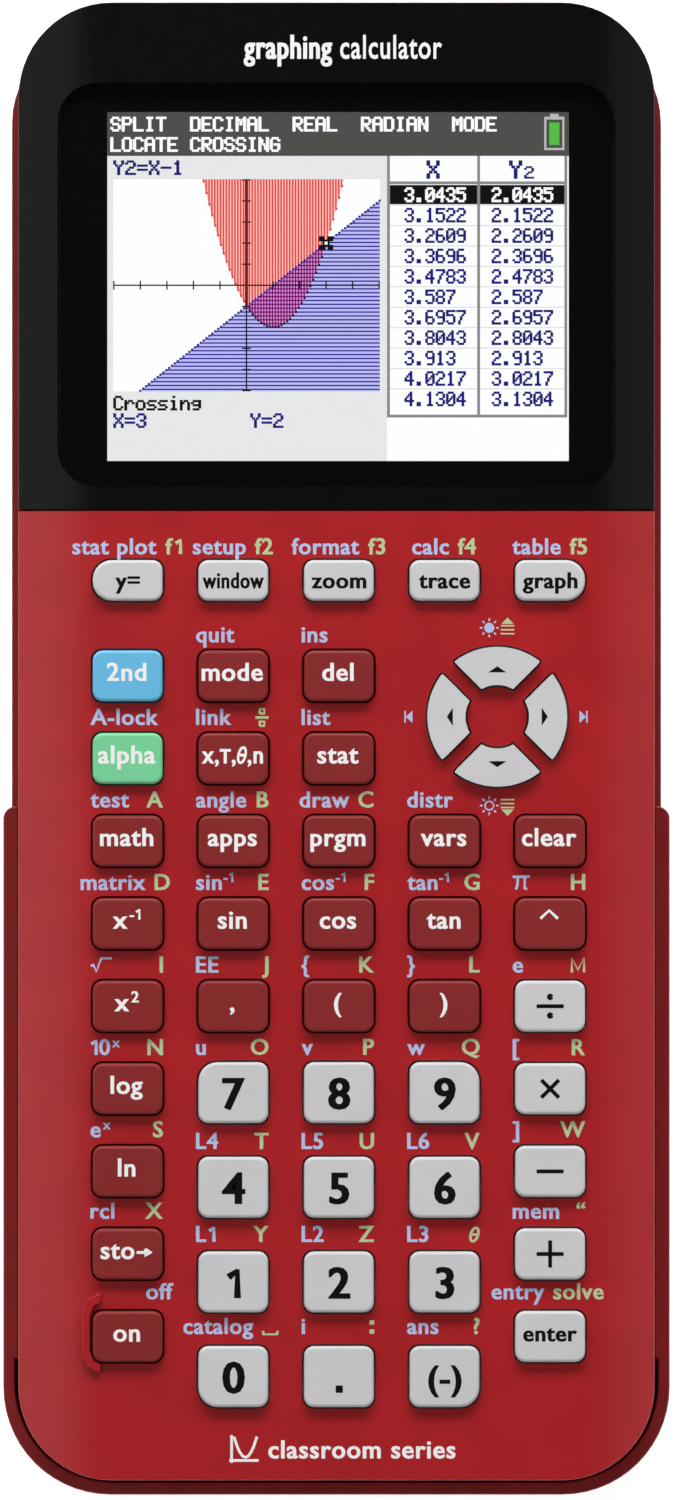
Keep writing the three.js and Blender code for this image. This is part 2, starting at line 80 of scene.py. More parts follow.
def addLights():
    for name, direction, distance, (width, length), power in softLights:
        data = bpy.data.lights.new(name, "AREA")
        data.shape = "RECTANGLE"
        data.size = width
        data.size_y = length
        data.energy = power
        lamp = bpy.data.objects.new(name, data)
        bpy.context.collection.objects.link(lamp)
        towards = Vector(direction).normalized()
        lamp.location = towards * distance
        lamp.rotation_mode = "QUATERNION"
        lamp.rotation_quaternion = towards.to_track_quat("Z", "Y")
    world = bpy.data.worlds.new("studioAir")
    world.use_nodes = True
    tree = world.node_tree
    backdrop = tree.nodes["Background"]
    backdrop.inputs["Color"].default_value = (1.0, 1.0, 1.0, 1)
    split = newNode(tree, "SeparateXYZ")
    fade = newNode(tree, "MapRange", {
        "From Min": 0.15, "From Max": 0.85,
        "To Min": studio["skyAtHorizon"], "To Max": studio["skyOverhead"]})
    link(tree, newNode(tree, "TexCoord"), "Generated", split, "Vector")
    link(tree, split, "Z", fade, "Value")
    link(tree, fade, "Result", backdrop, "Strength")
    bpy.context.scene.world = world
    bpy.context.scene.view_settings.view_transform = "Standard"


def newNode(tree, kind, sockets=None):
    made = tree.nodes.new("ShaderNode" + kind)
    for socket, value in (sockets or {}).items():
        made.inputs[socket].default_value = value
    return made


def newMaterial(name, sockets=None):
    material = bpy.data.materials.new(name)
    material.use_nodes = True
    tree = material.node_tree
    shader = tree.nodes["Principled BSDF"]
    for socket, value in (sockets or {}).items():
        shader.inputs[socket].default_value = value
    return material, tree, shader


def link(tree, source, output, target, socket):
    tree.links.new(source.outputs[output], target.inputs[socket])


def addNoise(tree, scale, detail=4.0):
    coords = tree.nodes.get("Texture Coordinate") or newNode(tree, "TexCoord")
    noise = newNode(tree, "TexNoise", {"Scale": scale, "Detail": detail})
    link(tree, coords, "Object", noise, "Vector")
    return noise


def shaded(colour, share):
    return [min(1, c * share) for c in colour]


# Colours a shader by a pattern, between two tints.
def tint(tree, pattern, shader, dark, light, start=0.0, end=1.0):
    ramp = newNode(tree, "ValToRGB")
    for stop, colour, position in zip(ramp.color_ramp.elements, (dark, light), (start, end)):
        stop.color = (*colour, 1)
        stop.position = position
    link(tree, pattern, "Fac", ramp, "Fac")
    link(tree, ramp, "Color", shader, "Base Color")


# Varies a shader's roughness by a pattern.
def varyGloss(tree, pattern, shader, low, high, start=0.0, end=1.0):
    span = newNode(tree, "MapRange", {"From Min": start, "From Max": end, "To Min": low, "To Max": high})
    link(tree, pattern, "Fac", span, "Value")
    link(tree, span, "Result", shader, "Roughness")


def addBumps(tree, pattern, shader, strength, height):
    bump = newNode(tree, "Bump", {"Strength": strength, "Distance": height})
    link(tree, pattern, "Fac", bump, "Height")
    link(tree, bump, "Normal", shader, "Normal")


# Moulded plastic: faint clouding of the colour, a fine spark-eroded grain, and gloss that varies a little.
def mouldedPlastic(name, colour, roughness, grain=0.12, grainSize=5200, clouding=0.05, gloss=0.4):
    material, tree, shader = newMaterial(name, {"Specular IOR Level": gloss})
    cloud = addNoise(tree, 140, 3)
    tint(tree, cloud, shader, shaded(colour, 1 - clouding), shaded(colour, 1 + clouding), 0.35, 0.65)
    fine = addNoise(tree, grainSize, 2)
    varyGloss(tree, fine, shader, roughness - 0.05, roughness + 0.05)
    addBumps(tree, fine, shader, grain, 0.02 * mm)
    return material


# Printed ink: matt, a touch uneven where it was laid down.
def printedInk(name, colour, gloss=0.4):
    material, tree, shader = newMaterial(name, {"Roughness": 0.5, "Specular IOR Level": gloss})
    tint(tree, addNoise(tree, 2600, 2), shader, shaded(colour, 0.93), shaded(colour, 1.05))
    return material


def polishedBlack(name, roughness):
    material, tree, shader = newMaterial(name, {"Specular IOR Level": 0.23})
    dust = addNoise(tree, 900, 5)
    varyGloss(tree, dust, shader, roughness - 0.012, roughness + 0.012, 0.35, 0.75)
    tint(tree, dust, shader, (0.0024, 0.0024, 0.0026), (0.0036, 0.0035, 0.0035))
    return material


# A clear pane: see-through, with a mirror sheen that grows towards grazing view.
def clearPane():
    material, tree, shader = newMaterial("clearPane")
    tree.nodes.remove(shader)
    through = newNode(tree, "BsdfTransparent")
    sheen = newNode(tree, "BsdfAnisotropic")
    slant = newNode(tree, "LayerWeight", {"Blend": 0.5})
    steep = newNode(tree, "Math", {1: 5})
    steep.operation = "POWER"
    share = newNode(tree, "MapRange", {"To Min": 0.012, "To Max": 1.0})
    link(tree, slant, "Facing", steep, 0)
    link(tree, steep, "Value", share, "Value")
    varyGloss(tree, addNoise(tree, 120, 4), sheen, 0.02, 0.09)
    mix = newNode(tree, "MixShader")
    link(tree, share, "Result", mix, 0)
    link(tree, through, "BSDF", mix, 1)
    link(tree, sheen, "BSDF", mix, 2)
    link(tree, mix, "Shader", tree.nodes["Material Output"], "Surface")
    return material


# A lit dot of the display: it glows, with the faint grid of its dots.
def glowing(name, colour, strength=1.08):
    material, tree, shader = newMaterial(name, {
        "Emission Strength": strength, "Base Color": (0.003, 0.003, 0.003, 1), "Roughness": 0.4,
        "Specular IOR Level": 0})
    dots = newNode(tree, "TexBrick", {
        "Scale": 1 / (lcd["dot"] * 4), "Brick Width": 0.25, "Row Height": 0.25, "Mortar Size": 0.02,
        "Color1": (*colour, 1), "Color2": (*colour, 1), "Mortar": (*shaded(colour, 0.86), 1)})
    dots.offset = 0
    link(tree, newNode(tree, "TexCoord"), "Object", dots, "Vector")
    link(tree, dots, "Color", shader, "Emission Color")
    return material


def softRubber(name, colour):
    material, tree, shader = newMaterial(name, {"Roughness": 0.8})
    fine = addNoise(tree, 3000, 3)
    tint(tree, fine, shader, shaded(colour, 0.85), colour)
    addBumps(tree, fine, shader, 0.3, 0.03 * mm)
    return material


# Bare metal, brushed along X.
def brushedMetal(name, colour, roughness):
    material, tree, shader = newMaterial(name, {"Metallic": 1})
    stretch = newNode(tree, "Mapping", {"Scale": (200, 9000, 9000)})
    lines = newNode(tree, "TexNoise", {"Scale": 1})
    link(tree, newNode(tree, "TexCoord"), "Object", stretch, "Vector")
    link(tree, stretch, "Vector", lines, "Vector")
    varyGloss(tree, lines, shader, roughness - 0.1, roughness + 0.1)
    tint(tree, lines, shader, shaded(colour, 0.8), colour)
    return material


# Solder mask over copper tracks that run both ways across the board.
def boardMask():
    material, tree, shader = newMaterial("boardMask", {"Roughness": 0.35})
    tracks = newNode(tree, "TexBrick", {
        "Scale": 160, "Mortar Size": 0.03, "Color1": (0.012, 0.11, 0.04, 1),
        "Color2": (0.016, 0.14, 0.05, 1), "Mortar": (0.03, 0.21, 0.08, 1)})
    link(tree, newNode(tree, "TexCoord"), "Object", tracks, "Vector")
    link(tree, tracks, "Color", shader, "Base Color")
    return material


# Every shape is made in millimetres, and turned to metres as it is finished.
def nodeBox(node):
    low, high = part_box(node)
    return low / mm, high / mm


def everything(bm):
    return bm.verts[:] + bm.edges[:] + bm.faces[:]


# A rounded rectangle raised from low to high. Corners run lower left, lower right, upper right, upper left.
def plate(width, length, corners, low, high, x=0.0, y=0.0, arc=8):
    bm = bmesh.new()
    place = Matrix.LocRotScale(Vector((x, y, low)), None, Vector((width / 2, length / 2, 1)))
    made = bmesh.ops.create_grid(bm, x_segments=1, y_segments=1, size=1, matrix=place)
    around = corners if isinstance(corners, tuple) else (corners,) * 4
    for vert in made["verts"]:
        upper = vert.co.y > y
        radius = (around[2] if upper else around[1]) if vert.co.x > x else (around[3] if upper else around[0])
        if radius > 0:
            bmesh.ops.bevel(bm, geom=[vert], offset=radius, offset_type="OFFSET", segments=arc,
                            profile=0.5, affect="VERTICES", material=-1)
    return raised(bm, high - low)


# A flat face given its height.
def raised(bm, height):
    lifted = bmesh.ops.extrude_face_region(bm, geom=bm.faces[:], use_keep_orig=True)
    tops = [v for v in lifted["geom"] if isinstance(v, bmesh.types.BMVert)]
    bmesh.ops.translate(bm, verts=tops, vec=(0, 0, height))
    bmesh.ops.recalc_face_normals(bm, faces=bm.faces[:])
    return bm


def block(low, high):
    size = Vector(high) - Vector(low)
    bm = bmesh.new()
    place = Matrix.LocRotScale(Vector(low) + size / 2, None, size)
    bmesh.ops.create_cube(bm, size=1, matrix=place)
    return bm


def post(x, y, low, high, radius, topRadius=None, sides=32):
    bm = bmesh.new()
    place = Matrix.Translation((x, y, (low + high) / 2))
    bmesh.ops.create_cone(bm, cap_ends=True, segments=sides, radius1=radius,
                          radius2=radius if topRadius is None else topRadius, depth=high - low, matrix=place)
    return bm


# Edges where an upward or downward face meets an upright one.
def rimEdges(bm, wanted=lambda edge: True, flat=0.75, upright=0.3):
    found = []
    for edge in bm.edges:
        if len(edge.link_faces) == 2:
            slopes = sorted(abs(face.normal.z) for face in edge.link_faces)
            if slopes[0] < upright and slopes[1] > flat and wanted(edge):
                found.append(edge)
    return found


def roundEdges(bm, edges, radius, steps=3):
    bm.normal_update()
    bmesh.ops.bevel(bm, geom=edges, offset=radius, offset_type="OFFSET", segments=steps, profile=0.5,
                    affect="EDGES", clamp_overlap=True, material=-1)


def roundLevel(bm, z, radius, steps=3):
    roundEdges(bm, rimEdges(bm, lambda edge: all(abs(v.co.z - z) < 1e-3 for v in edge.verts)), radius, steps)
    return bm


def keepSide(bm, y, upper):
    cut = bmesh.ops.bisect_plane(bm, geom=everything(bm), dist=1e-5, plane_co=(0, y, 0), plane_no=(0, 1, 0),
                                 clear_inner=upper, clear_outer=not upper)
    rim = [e for e in cut["geom_cut"] if isinstance(e, bmesh.types.BMEdge)]
    bmesh.ops.holes_fill(bm, edges=rim, sides=0)
    bmesh.ops.recalc_face_normals(bm, faces=bm.faces[:])
    return bm


def merge(target, source, move=None):
    if move is not None:
        bmesh.ops.transform(source, matrix=move, verts=source.verts)
    carried = bpy.data.meshes.new("carried")
    source.to_mesh(carried)
    source.free()
    target.from_mesh(carried)
    bpy.data.meshes.remove(carried)
    return target


def together(shapes):
    whole = bmesh.new()
    for shape in shapes:
        merge(whole, shape)
    return whole


def asObject(name, bm):
    mesh = bpy.data.meshes.new(name)
    bm.to_mesh(mesh)
    bm.free()
    obj = bpy.data.objects.new(name, mesh)
    bpy.context.collection.objects.link(obj)
    return obj


# Cuts each tool out of a solid, or joins it on, or keeps what they share.
def carve(bm, *tools, how="DIFFERENCE"):
    work = asObject("work", bm)
    for tool in tools:
        cutter = asObject("cutter", tool)
        step = work.modifiers.new("carve", "BOOLEAN")
        step.operation = how
        step.solver = "EXACT"
        step.object = cutter
        bpy.context.view_layer.update()
        graph = bpy.context.evaluated_depsgraph_get()
        carved = bpy.data.meshes.new_from_object(work.evaluated_get(graph))
        work.modifiers.remove(step)
        spent = [work.data, cutter.data]
        work.data = carved
        bpy.data.objects.remove(cutter)
        for mesh in spent:
            bpy.data.meshes.remove(mesh)
    result = bmesh.new()
    result.from_mesh(work.data)
    mesh = work.data
    bpy.data.objects.remove(work)
    bpy.data.meshes.remove(mesh)
    bmesh.ops.remove_doubles(result, verts=result.verts, dist=1e-4)
    result.normal_update()
    return result


def inked(bm):
    for face in bm.faces:
        face.material_index = 1
    return bm


def moved(bm, x, y, z):
    bmesh.ops.translate(bm, verts=bm.verts, vec=(x, y, z))
    return bm


# A finished piece: metres, its finishes, its body, and the CAD node that it stands for.
def makePiece(name, bm, finishes, rides, standsFor=(), sharp=35, even=True):
    bmesh.ops.scale(bm, vec=(mm, mm, mm), verts=bm.verts)
    piece = asObject(name, bm)
    for finish in finishes if isinstance(finishes, (list, tuple)) else (finishes,):
        piece.data.materials.append(finish)
    piece.data.shade_smooth()
    piece.data.set_sharp_from_angle(angle=math.radians(sharp))
    if even:
        evenShading = piece.modifiers.new("evenShading", "WEIGHTED_NORMAL")
        evenShading.keep_sharp = True
        evenShading.weight = 80
    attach(piece, rides)
    if standsFor:
        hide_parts(*standsFor)
    return piece


bezelLow, bezelHigh = nodeBox("display_bezel")
housingLow, housingHigh = nodeBox("front_housing")
backLow, backHigh = nodeBox("back_housing")
coverLow, coverHigh = nodeBox("slide_cover")
paneLow, paneHigh = nodeBox("display_window")
panelLow, panelHigh = nodeBox("display_panel")
boardLow, boardHigh = nodeBox("circuit_board")
doorLow, doorHigh = nodeBox("battery_cover")
sheetLow, sheetHigh = nodeBox("dome_sheet")

faceZ = bezelHigh.z
halfWidth = bezelHigh.x
topY = bezelHigh.y
bottomY = housingLow.y
jointY = bezelLow.y
skirtZ = bezelLow.z
middleY = (topY + bottomY) / 2
paneY = (paneLow.y + paneHigh.y) / 2

shell = {
    "corner": 11.8,
    "slopeWidth": 10.1,      # from the side in to the flat of the face
    "crownRadius": 32.5,
    "crownStrips": 12,
    "rimRound": 1.0,
    "wall": 1.8,
    "facePlate": 1.6,
    "jointGap": 0.3,
    "holeRound": 0.14,
    "bossRadius": 1.9,
}
flatHalf = halfWidth - shell["slopeWidth"]


# The body's own outline, drawn in by an inset.
def bodyPlate(inset, low, high, arc=8):
    return plate(2 * (halfWidth - inset), topY - bottomY - 2 * inset, shell["corner"] - inset, low, high,
                 0, middleY, arc)


# How far the crowned face lies below its flat at a distance from the middle.
def crownDrop(x):
    beyond = max(0.0, abs(x) - flatHalf)
    return shell["crownRadius"] - math.sqrt(shell["crownRadius"] ** 2 - beyond ** 2)


def crownedBlock(low, inset=0.0, lowered=0.0, rimRound=0.0):
    half = halfWidth - inset
    bm = bodyPlate(inset, low, faceZ - lowered, 14)
    for step in range(shell["crownStrips"]):
        reach = flatHalf + (half - flatHalf) * step / shell["crownStrips"]
        for side in (-1, 1):
            bmesh.ops.bisect_plane(bm, geom=everything(bm), dist=1e-5, plane_co=(side * reach, 0, 0),
                                   plane_no=(1, 0, 0))
    for vert in bm.verts:
        if vert.co.z > low + 1:
            vert.co.z -= crownDrop(vert.co.x)
    bm.normal_update()
    if rimRound:
        roundEdges(bm, rimEdges(bm, lambda edge: edge.verts[0].co.z > low + 1), rimRound, 5)
    return bm


keyShape = {
    "flangeReach": 0.6,
    "corner": 1.25,
    "outerCorner": 2.4,
    "topRound": 0.42,
    "openingGap": 0.25,
    "padRadius": 8.8,
    "padHole": 4.0,
    "padGap": 2.1,
    "padCorner": 0.7,
    "arrowMark": (1.3, 0.5),
    "markInward": 0.55,
    "enterRise": 0.4,
    "tallFrom": 7.0,         # keys this long bear digits and signs
    "wordRoom": 0.88,        # the widest word, as a share of the key
    "tallWord": (0.05, -0.12),    # how far the words stand off the key's middle
    "lightWord": (0.0, 0.0),
    "darkWord": (-0.12, 0.5),
}

# The rounder outer corners of the outermost keys: lower left, lower right, upper right, upper left.
roundedCorners = {
    "key_y_equals": (0, 3),
    "key_graph": (1, 2),
    "key_7": (3,),
    "key_9": (2,),
    "key_0": (0,),
    "key_negative": (1,),
}

# Node, what is printed on the key, and what is printed above it: left word, right word.
menuKeys = [
    ("key_y_equals", "y=", "stat plot", "f1"),
    ("key_window", "window", "setup", "f2"),
    ("key_zoom", "zoom", "format", "f3"),
    ("key_trace", "trace", "calc", "f4"),
    ("key_graph", "graph", "table", "f5"),
]
darkKeys = [
    ("key_mode", "mode", "quit", ""),
    ("key_delete", "del", "ins", ""),
    ("key_variable", "x,т,θ,n", "link", "⊟"),
    ("key_statistics", "stat", "list", ""),
    ("key_math", "math", "test", "A"),
    ("key_tools", "apps", "angle", "B"),
    ("key_program", "prgm", "draw", "C"),
    ("key_variables", "vars", "distr", ""),
    ("key_clear", "clear", "", ""),
    ("key_inverse", "x^-1", "matrix", "D"),
    ("key_sin", "sin", "sin^-1", "E"),
    ("key_cos", "cos", "cos^-1", "F"),
    ("key_tan", "tan", "tan^-1", "G"),
    ("key_power", "∧", "π", "H"),
    ("key_square", "x^2", "√", "I"),
    ("key_comma", ",", "EE", "J"),
    ("key_left_bracket", "(", "{", "K"),
    ("key_right_bracket", ")", "}", "L"),
    ("key_log", "log", "10^x", "N"),
    ("key_ln", "ln", "e^x", "S"),
    ("key_store", "sto→", "rcl", "X"),
    ("key_on", "on", "", "off"),
]
lightKeys = [
    ("key_divide", "÷", "e", "M"),
    ("key_multiply", "×", "[", "R"),
    ("key_minus", "−", "]", "W"),
    ("key_plus", "+", "mem", "“"),
    ("key_enter", "enter", "entry", "solve"),
    ("key_7", "7", "u", "O"),
    ("key_8", "8", "v", "P"),
    ("key_9", "9", "w", "Q"),
    ("key_4", "4", "L4", "T"),
    ("key_5", "5", "L5", "U"),
    ("key_6", "6", "L6", "V"),
    ("key_1", "1", "L1", "Y"),
    ("key_2", "2", "L2", "Z"),
    ("key_3", "3", "L3", "θ"),
    ("key_0", "0", "catalog", "⎵"),
    ("key_point", ".", "i", ":"),
    ("key_negative", "(-)", "ans", "?"),
]
colourKeys = [
    ("key_second", "2nd", "", ""),
    ("key_alpha", "alpha", "A-lock", ""),
]
arrowKeys = ["key_right", "key_up", "key_left", "key_down"]


# A rectangular key's middle and size, without the flange that holds it in.
def keyPlan(node):
    low, high = nodeBox(node)
    reach = 2 * keyShape["flangeReach"]
    return (low.x + high.x) / 2, (low.y + high.y) / 2, high.x - low.x - reach, high.y - low.y - reach


def keyOutline(node, low, high, margin=0.0):
    x, y, width, length = keyPlan(node)
    corners = tuple(
        (keyShape["outerCorner"] if i in roundedCorners.get(node, ()) else keyShape["corner"]) + margin
        for i in range(4)
    )
    return plate(width + 2 * margin, length + 2 * margin, corners, low, high, x, y, 6)


def padMiddle():
    left, right = nodeBox("key_left")[0], nodeBox("key_right")[1]
    down, up = nodeBox("key_down")[0], nodeBox("key_up")[1]
    return (left.x + right.x) / 2, (down.y + up.y) / 2


# One arrow key's outline, grown by a margin: a ring sector whose ends keep an even gap to its neighbours.
def arrowOutline(turn, low, high, margin=0.0):
    padX, padY = padMiddle()
    outer, inner = keyShape["padRadius"] + margin, keyShape["padHole"] - margin
    bm = bmesh.new()
    sweep = math.radians(100)
    start = Matrix.Rotation(-sweep / 2, 4, "Z")
    ends = [bmesh.ops.create_vert(bm, co=start @ Vector((r, 0, low)))["vert"][0] for r in (inner, outer)]
    bm.edges.new(ends)
    bmesh.ops.spin(bm, geom=everything(bm), cent=(0, 0, 0), axis=(0, 0, 1), dvec=(0, 0, 0), angle=sweep,
                   steps=40, use_merge=False, use_duplicate=False)
    for side in (-1, 1):
        normal = Matrix.Rotation(side * math.radians(135), 3, "Z") @ Vector((1, 0, 0))
        bmesh.ops.bisect_plane(bm, geom=everything(bm), dist=1e-5, plane_no=normal, clear_outer=True,
                               plane_co=-normal * (keyShape["padGap"] / 2 - margin))
    bmesh.ops.dissolve_faces(bm, faces=bm.faces[:], use_verts=False)
    corners = [v for v in bm.verts if v.calc_edge_angle(0) > math.radians(40)]
    bmesh.ops.bevel(bm, geom=corners, offset=keyShape["padCorner"] + margin, offset_type="OFFSET", segments=4,
                    profile=0.5, affect="VERTICES", material=-1)
    place = Matrix.Translation((padX, padY, 0)) @ Matrix.Rotation(turn * math.pi / 2, 4, "Z")
    bmesh.ops.transform(bm, matrix=place, verts=bm.verts)
    return raised(bm, high - low)


# A key: its top with rounded edges, its stem, and the flange under the face.
def keySolid(outline, flange, top, plateUnder, flangeBottom):
    cap = roundLevel(outline(plateUnder - shell["jointGap"] - 0.2, top), top, keyShape["topRound"], 5)
    return merge(cap, flange(flangeBottom, plateUnder - shell["jointGap"]))


def buildKeys(finishes):
    plateUnder = faceZ - shell["facePlate"]
    groups = [("lightKey", menuKeys), ("darkKey", darkKeys), ("lightKey", lightKeys)]
    entries = [(finish, *entry) for finish, group in groups for entry in group]
    entries += [("blueKey", *colourKeys[0]), ("greenKey", *colourKeys[1])]
    for finish, node, printed, _, _ in entries:
        low, high = nodeBox(node)
        x, y, width, length = keyPlan(node)
        solid = keySolid(
            lambda a, b, node=node: keyOutline(node, a, b),
            lambda a, b, x=x, y=y, low=low, high=high: plate(
                high.x - low.x, high.y - low.y, keyShape["corner"], a, b, x, y, 3),
            high.z, plateUnder, low.z)
        ink = "blackInk" if finish == "lightKey" else "whiteInk"
        tall = length > keyShape["tallFrom"]
        size = "operator" if printed in "÷×−+" else "menu" if finish == "lightKey" else "key"
        if tall:
            size = "digit" if printed.isdigit() or printed == "." else "sign"
        cap = capHeights[size]
        aside, rise = keyShape["tallWord" if tall else "lightWord" if finish == "lightKey" else "darkWord"]
        if size == "operator":
            aside, rise = 0, 0
        if node == "key_enter":
            rise = keyShape["enterRise"]
        spread = letterShape["darkSpread" if finish == "lightKey" else "paleSpread"]
        lettering = label(printed, cap, bold=2, spread=spread)
        placeOn(lettering, x + aside, y + rise, high.z, width * keyShape["wordRoom"], middle=cap / 2)
        makePiece("cap_" + node[4:], merge(solid, inked(lettering)), (finishes[finish], finishes[ink]), node,
                  (node,))
    padX, padY = padMiddle()
    for turn, node in enumerate(arrowKeys):
        low, high = nodeBox(node)
        solid = keySolid(
            lambda a, b, turn=turn: arrowOutline(turn, a, b),
            lambda a, b, turn=turn: arrowOutline(turn, a, b, keyShape["flangeReach"]),
            high.z, plateUnder, low.z)
        radius = (keyShape["padRadius"] + keyShape["padHole"]) / 2 - keyShape["markInward"]
        mark = post(0, 0, -0.01, 0.02, 1, sides=3)
        place = Matrix.Translation((padX, padY, high.z)) @ Matrix.Rotation(turn * math.pi / 2, 4, "Z")
        place = place @ Matrix.Translation((radius, 0, 0)) @ Matrix.Rotation(-math.pi / 2, 4, "Z")
        place = place @ Matrix.Diagonal((*keyShape["arrowMark"], 1, 1))
        bmesh.ops.transform(mark, matrix=place, verts=mark.verts)
        looks = (finishes["lightKey"], finishes["blackInk"])
        makePiece("cap_" + node[4:], merge(solid, inked(mark)), looks, node, (node,))


capHeights = {"key": 2.2, "menu": 1.95, "operator": 3.0, "digit": 3.8, "sign": 2.9, "above": 1.96,
              "name": 2.9, "maker": 2.2}
letterShape = {
    "fontCap": 0.682,        # the font's capitals, as a share of its size
    "swell": 0.015,          # how much each letter's outline grows
    "paleSpread": 0.012,     # how far the bold copies stand apart
    "darkSpread": 0.022,
    "tracking": 1.08,
    "copyStep": 0.003,       # each bold copy lies this much over the last
    "signGap": 0.09,         # between letters and a stroked sign
    "raiseSize": 0.62,       # size of a superscript
    "raiseBy": 0.50,
    "inkHeight": 0.02,
    "strokeWidth": 0.165,     # of the cap height, for the signs drawn with strokes
}

# Signs drawn with strokes, in cap heights: the paths and how far to move on.
strokeSigns = {
    "M": ([[(0.08, 0.0), (0.08, 0.92), (0.47, 0.16), (0.86, 0.92), (0.86, 0.0)]], 1.0),
    "∧": ([[(0.0, 0.56), (0.50, 1.02), (1.0, 0.56)]], 1.0),
    "÷": ([[(0.0, 0.5), (1.14, 0.5)], [(0.53, 0.11), (0.61, 0.11)], [(0.53, 0.89), (0.61, 0.89)]] + [
        [(0.57 + 0.06 * math.cos(t * math.pi / 4), up + 0.06 * math.sin(t * math.pi / 4)) for t in range(9)]
        for up in (0.11, 0.89)], 1.14),
    "×": ([[(0.13, 0.13), (0.87, 0.87)], [(0.13, 0.87), (0.87, 0.13)]], 1.0),
    "−": ([[(0.0, 0.5), (1.14, 0.5)]], 1.14),
    "+": ([[(0.0, 0.5), (1.14, 0.5)], [(0.57, -0.07), (0.57, 1.07)]], 1.14),
    "→": ([[(0.0, 0.36), (0.55, 0.36)], [(0.50, 0.56), (0.84, 0.36), (0.50, 0.16), (0.50, 0.56)],
           [(0.56, 0.36), (0.70, 0.36)]], 1.0),
    "1": ([[(0.04, 0.72), (0.33, 0.92), (0.33, 0.0)], [(0.09, 0.66), (0.40, 0.90), (0.40, 0.0)]], 0.56),
    "π": ([[(0.0, 0.82), (1.1, 0.86)], [(0.34, 0.82), (0.30, 0.3), (0.20, 0.02)],
           [(0.78, 0.84), (0.76, 0.10), (0.92, 0.04)]], 1.2),
    "√": ([[(0.0, 0.40), (0.16, 0.48), (0.34, 0.04), (0.66, 0.90), (1.35, 0.90)]], 1.45),
    ".": ([[(0.0, 0.08), (0.24, 0.08)], [(0.0, 0.16), (0.24, 0.16)]], 0.4),
    ":": ([[(0.0, level), (0.3, level)] for level in (0.08, 0.2, 0.66, 0.78)], 0.4),
    "⎵": ([[(0.05, 0.18), (0.05, -0.04), (0.95, -0.04), (0.95, 0.18)]], 1.0),
    "⊟": ([[(0.0, 0.46), (0.85, 0.46)], [(0.28, 0.72), (0.57, 0.72), (0.57, 1.0), (0.28, 1.0), (0.28, 0.72)],
           [(0.28, -0.08), (0.57, -0.08), (0.57, 0.2), (0.28, 0.2), (0.28, -0.08)]], 0.9),
    "θ": ([[(0.30 + 0.24 * math.cos(t / 8 * math.pi) + 0.10 * math.sin(t / 8 * math.pi),
             0.46 + 0.44 * math.sin(t / 8 * math.pi)) for t in range(17)],
           [(0.12, 0.46), (0.48, 0.46)]], 0.68),
}


# A curve as a mesh, with the points nearer than a distance joined.
def shapeOf(curve, nearer):
    holder = bpy.data.objects.new("holder", curve)
    mesh = bpy.data.meshes.new_from_object(holder)
    bm = bmesh.new()
    bm.from_mesh(mesh)
    bpy.data.objects.remove(holder)
    bpy.data.curves.remove(curve)
    bpy.data.meshes.remove(mesh)
    bmesh.ops.remove_doubles(bm, verts=bm.verts, dist=nearer)
    return bm


def flatText(words, size):
    curve = bpy.data.curves.new("lettering", "FONT")
    curve.body = words
    curve.size = size
    curve.offset = letterShape["swell"] * size
    curve.extrude = letterShape["inkHeight"] / 2
    curve.resolution_u = 3
    curve.space_character = letterShape["tracking"]
    return shapeOf(curve, 1e-5)


# A line of even width through some points, flattened to the thickness of ink.
def stroke(points, width):
    curve = bpy.data.curves.new("stroke", "CURVE")
    curve.dimensions = "3D"
    curve.bevel_depth = width / 2
    curve.bevel_resolution = 2
    curve.use_fill_caps = True
    line = curve.splines.new("POLY")
    line.points.add(len(points) - 1)
    for point, (x, y) in zip(line.points, points):
        point.co = (x, y, 0, 1)
    bm = shapeOf(curve, 1e-4)
    bmesh.ops.scale(bm, vec=(1, 1, letterShape["inkHeight"] / width), verts=bm.verts)
    return moved(bm, 0, 0, letterShape["inkHeight"] / 2)


def widthOf(bm):
    across = [v.co.x for v in bm.verts]
    return min(across), max(across)


# Words with their capitals that tall. "^" raises what follows it; bold copies stand side by side.
def label(words, cap, bold=1, spread=0.012):
    whole = bmesh.new()
    cursor = 0.0
    for level, part in enumerate(words.split("^")):
        scale = letterShape["raiseSize"] if level else 1.0
        lift = letterShape["raiseBy"] * cap if level else 0.0
        height = cap * scale
        size = height / letterShape["fontCap"]
        run = ""
        for sign in part + "\n":
            if sign not in strokeSigns and sign != "\n":
                run += sign
                continue
            if run:
                text = flatText(run, size)
                left, right = widthOf(text)
                for copy in range(-bold, bold + 1):
                    shift = (cursor - left + (copy / max(1, bold)) * spread * size, lift,
                             letterShape["copyStep"] * (bold - abs(copy)))
                    merge(whole, text.copy(), Matrix.Translation(shift))
                text.free()
                cursor += right - left + letterShape["signGap"] * size
                run = ""
            if sign in strokeSigns:
                paths, advance = strokeSigns[sign]
                for path in paths:
                    points = [(cursor + px * height, lift + py * height) for px, py in path]
                    merge(whole, stroke(points, letterShape["strokeWidth"] * height))
                cursor += advance * height
    return whole


# Moves lettering to its place, narrowed if it would be wider than the room, and laid over the crowned face.
def placeOn(bm, x, y, z, room, side=0, middle=0.0, crowned=False):
    left, right = widthOf(bm)
    narrow = min(1.0, room / (right - left))
    anchor = {-1: left, 0: (left + right) / 2, 1: right}[side]
    for vert in bm.verts:
        vert.co.x = x + (vert.co.x - anchor) * narrow
        vert.co.y += y - middle
        vert.co.z += z + (-crownDrop(vert.co.x) if crowned else 0)
    return bm


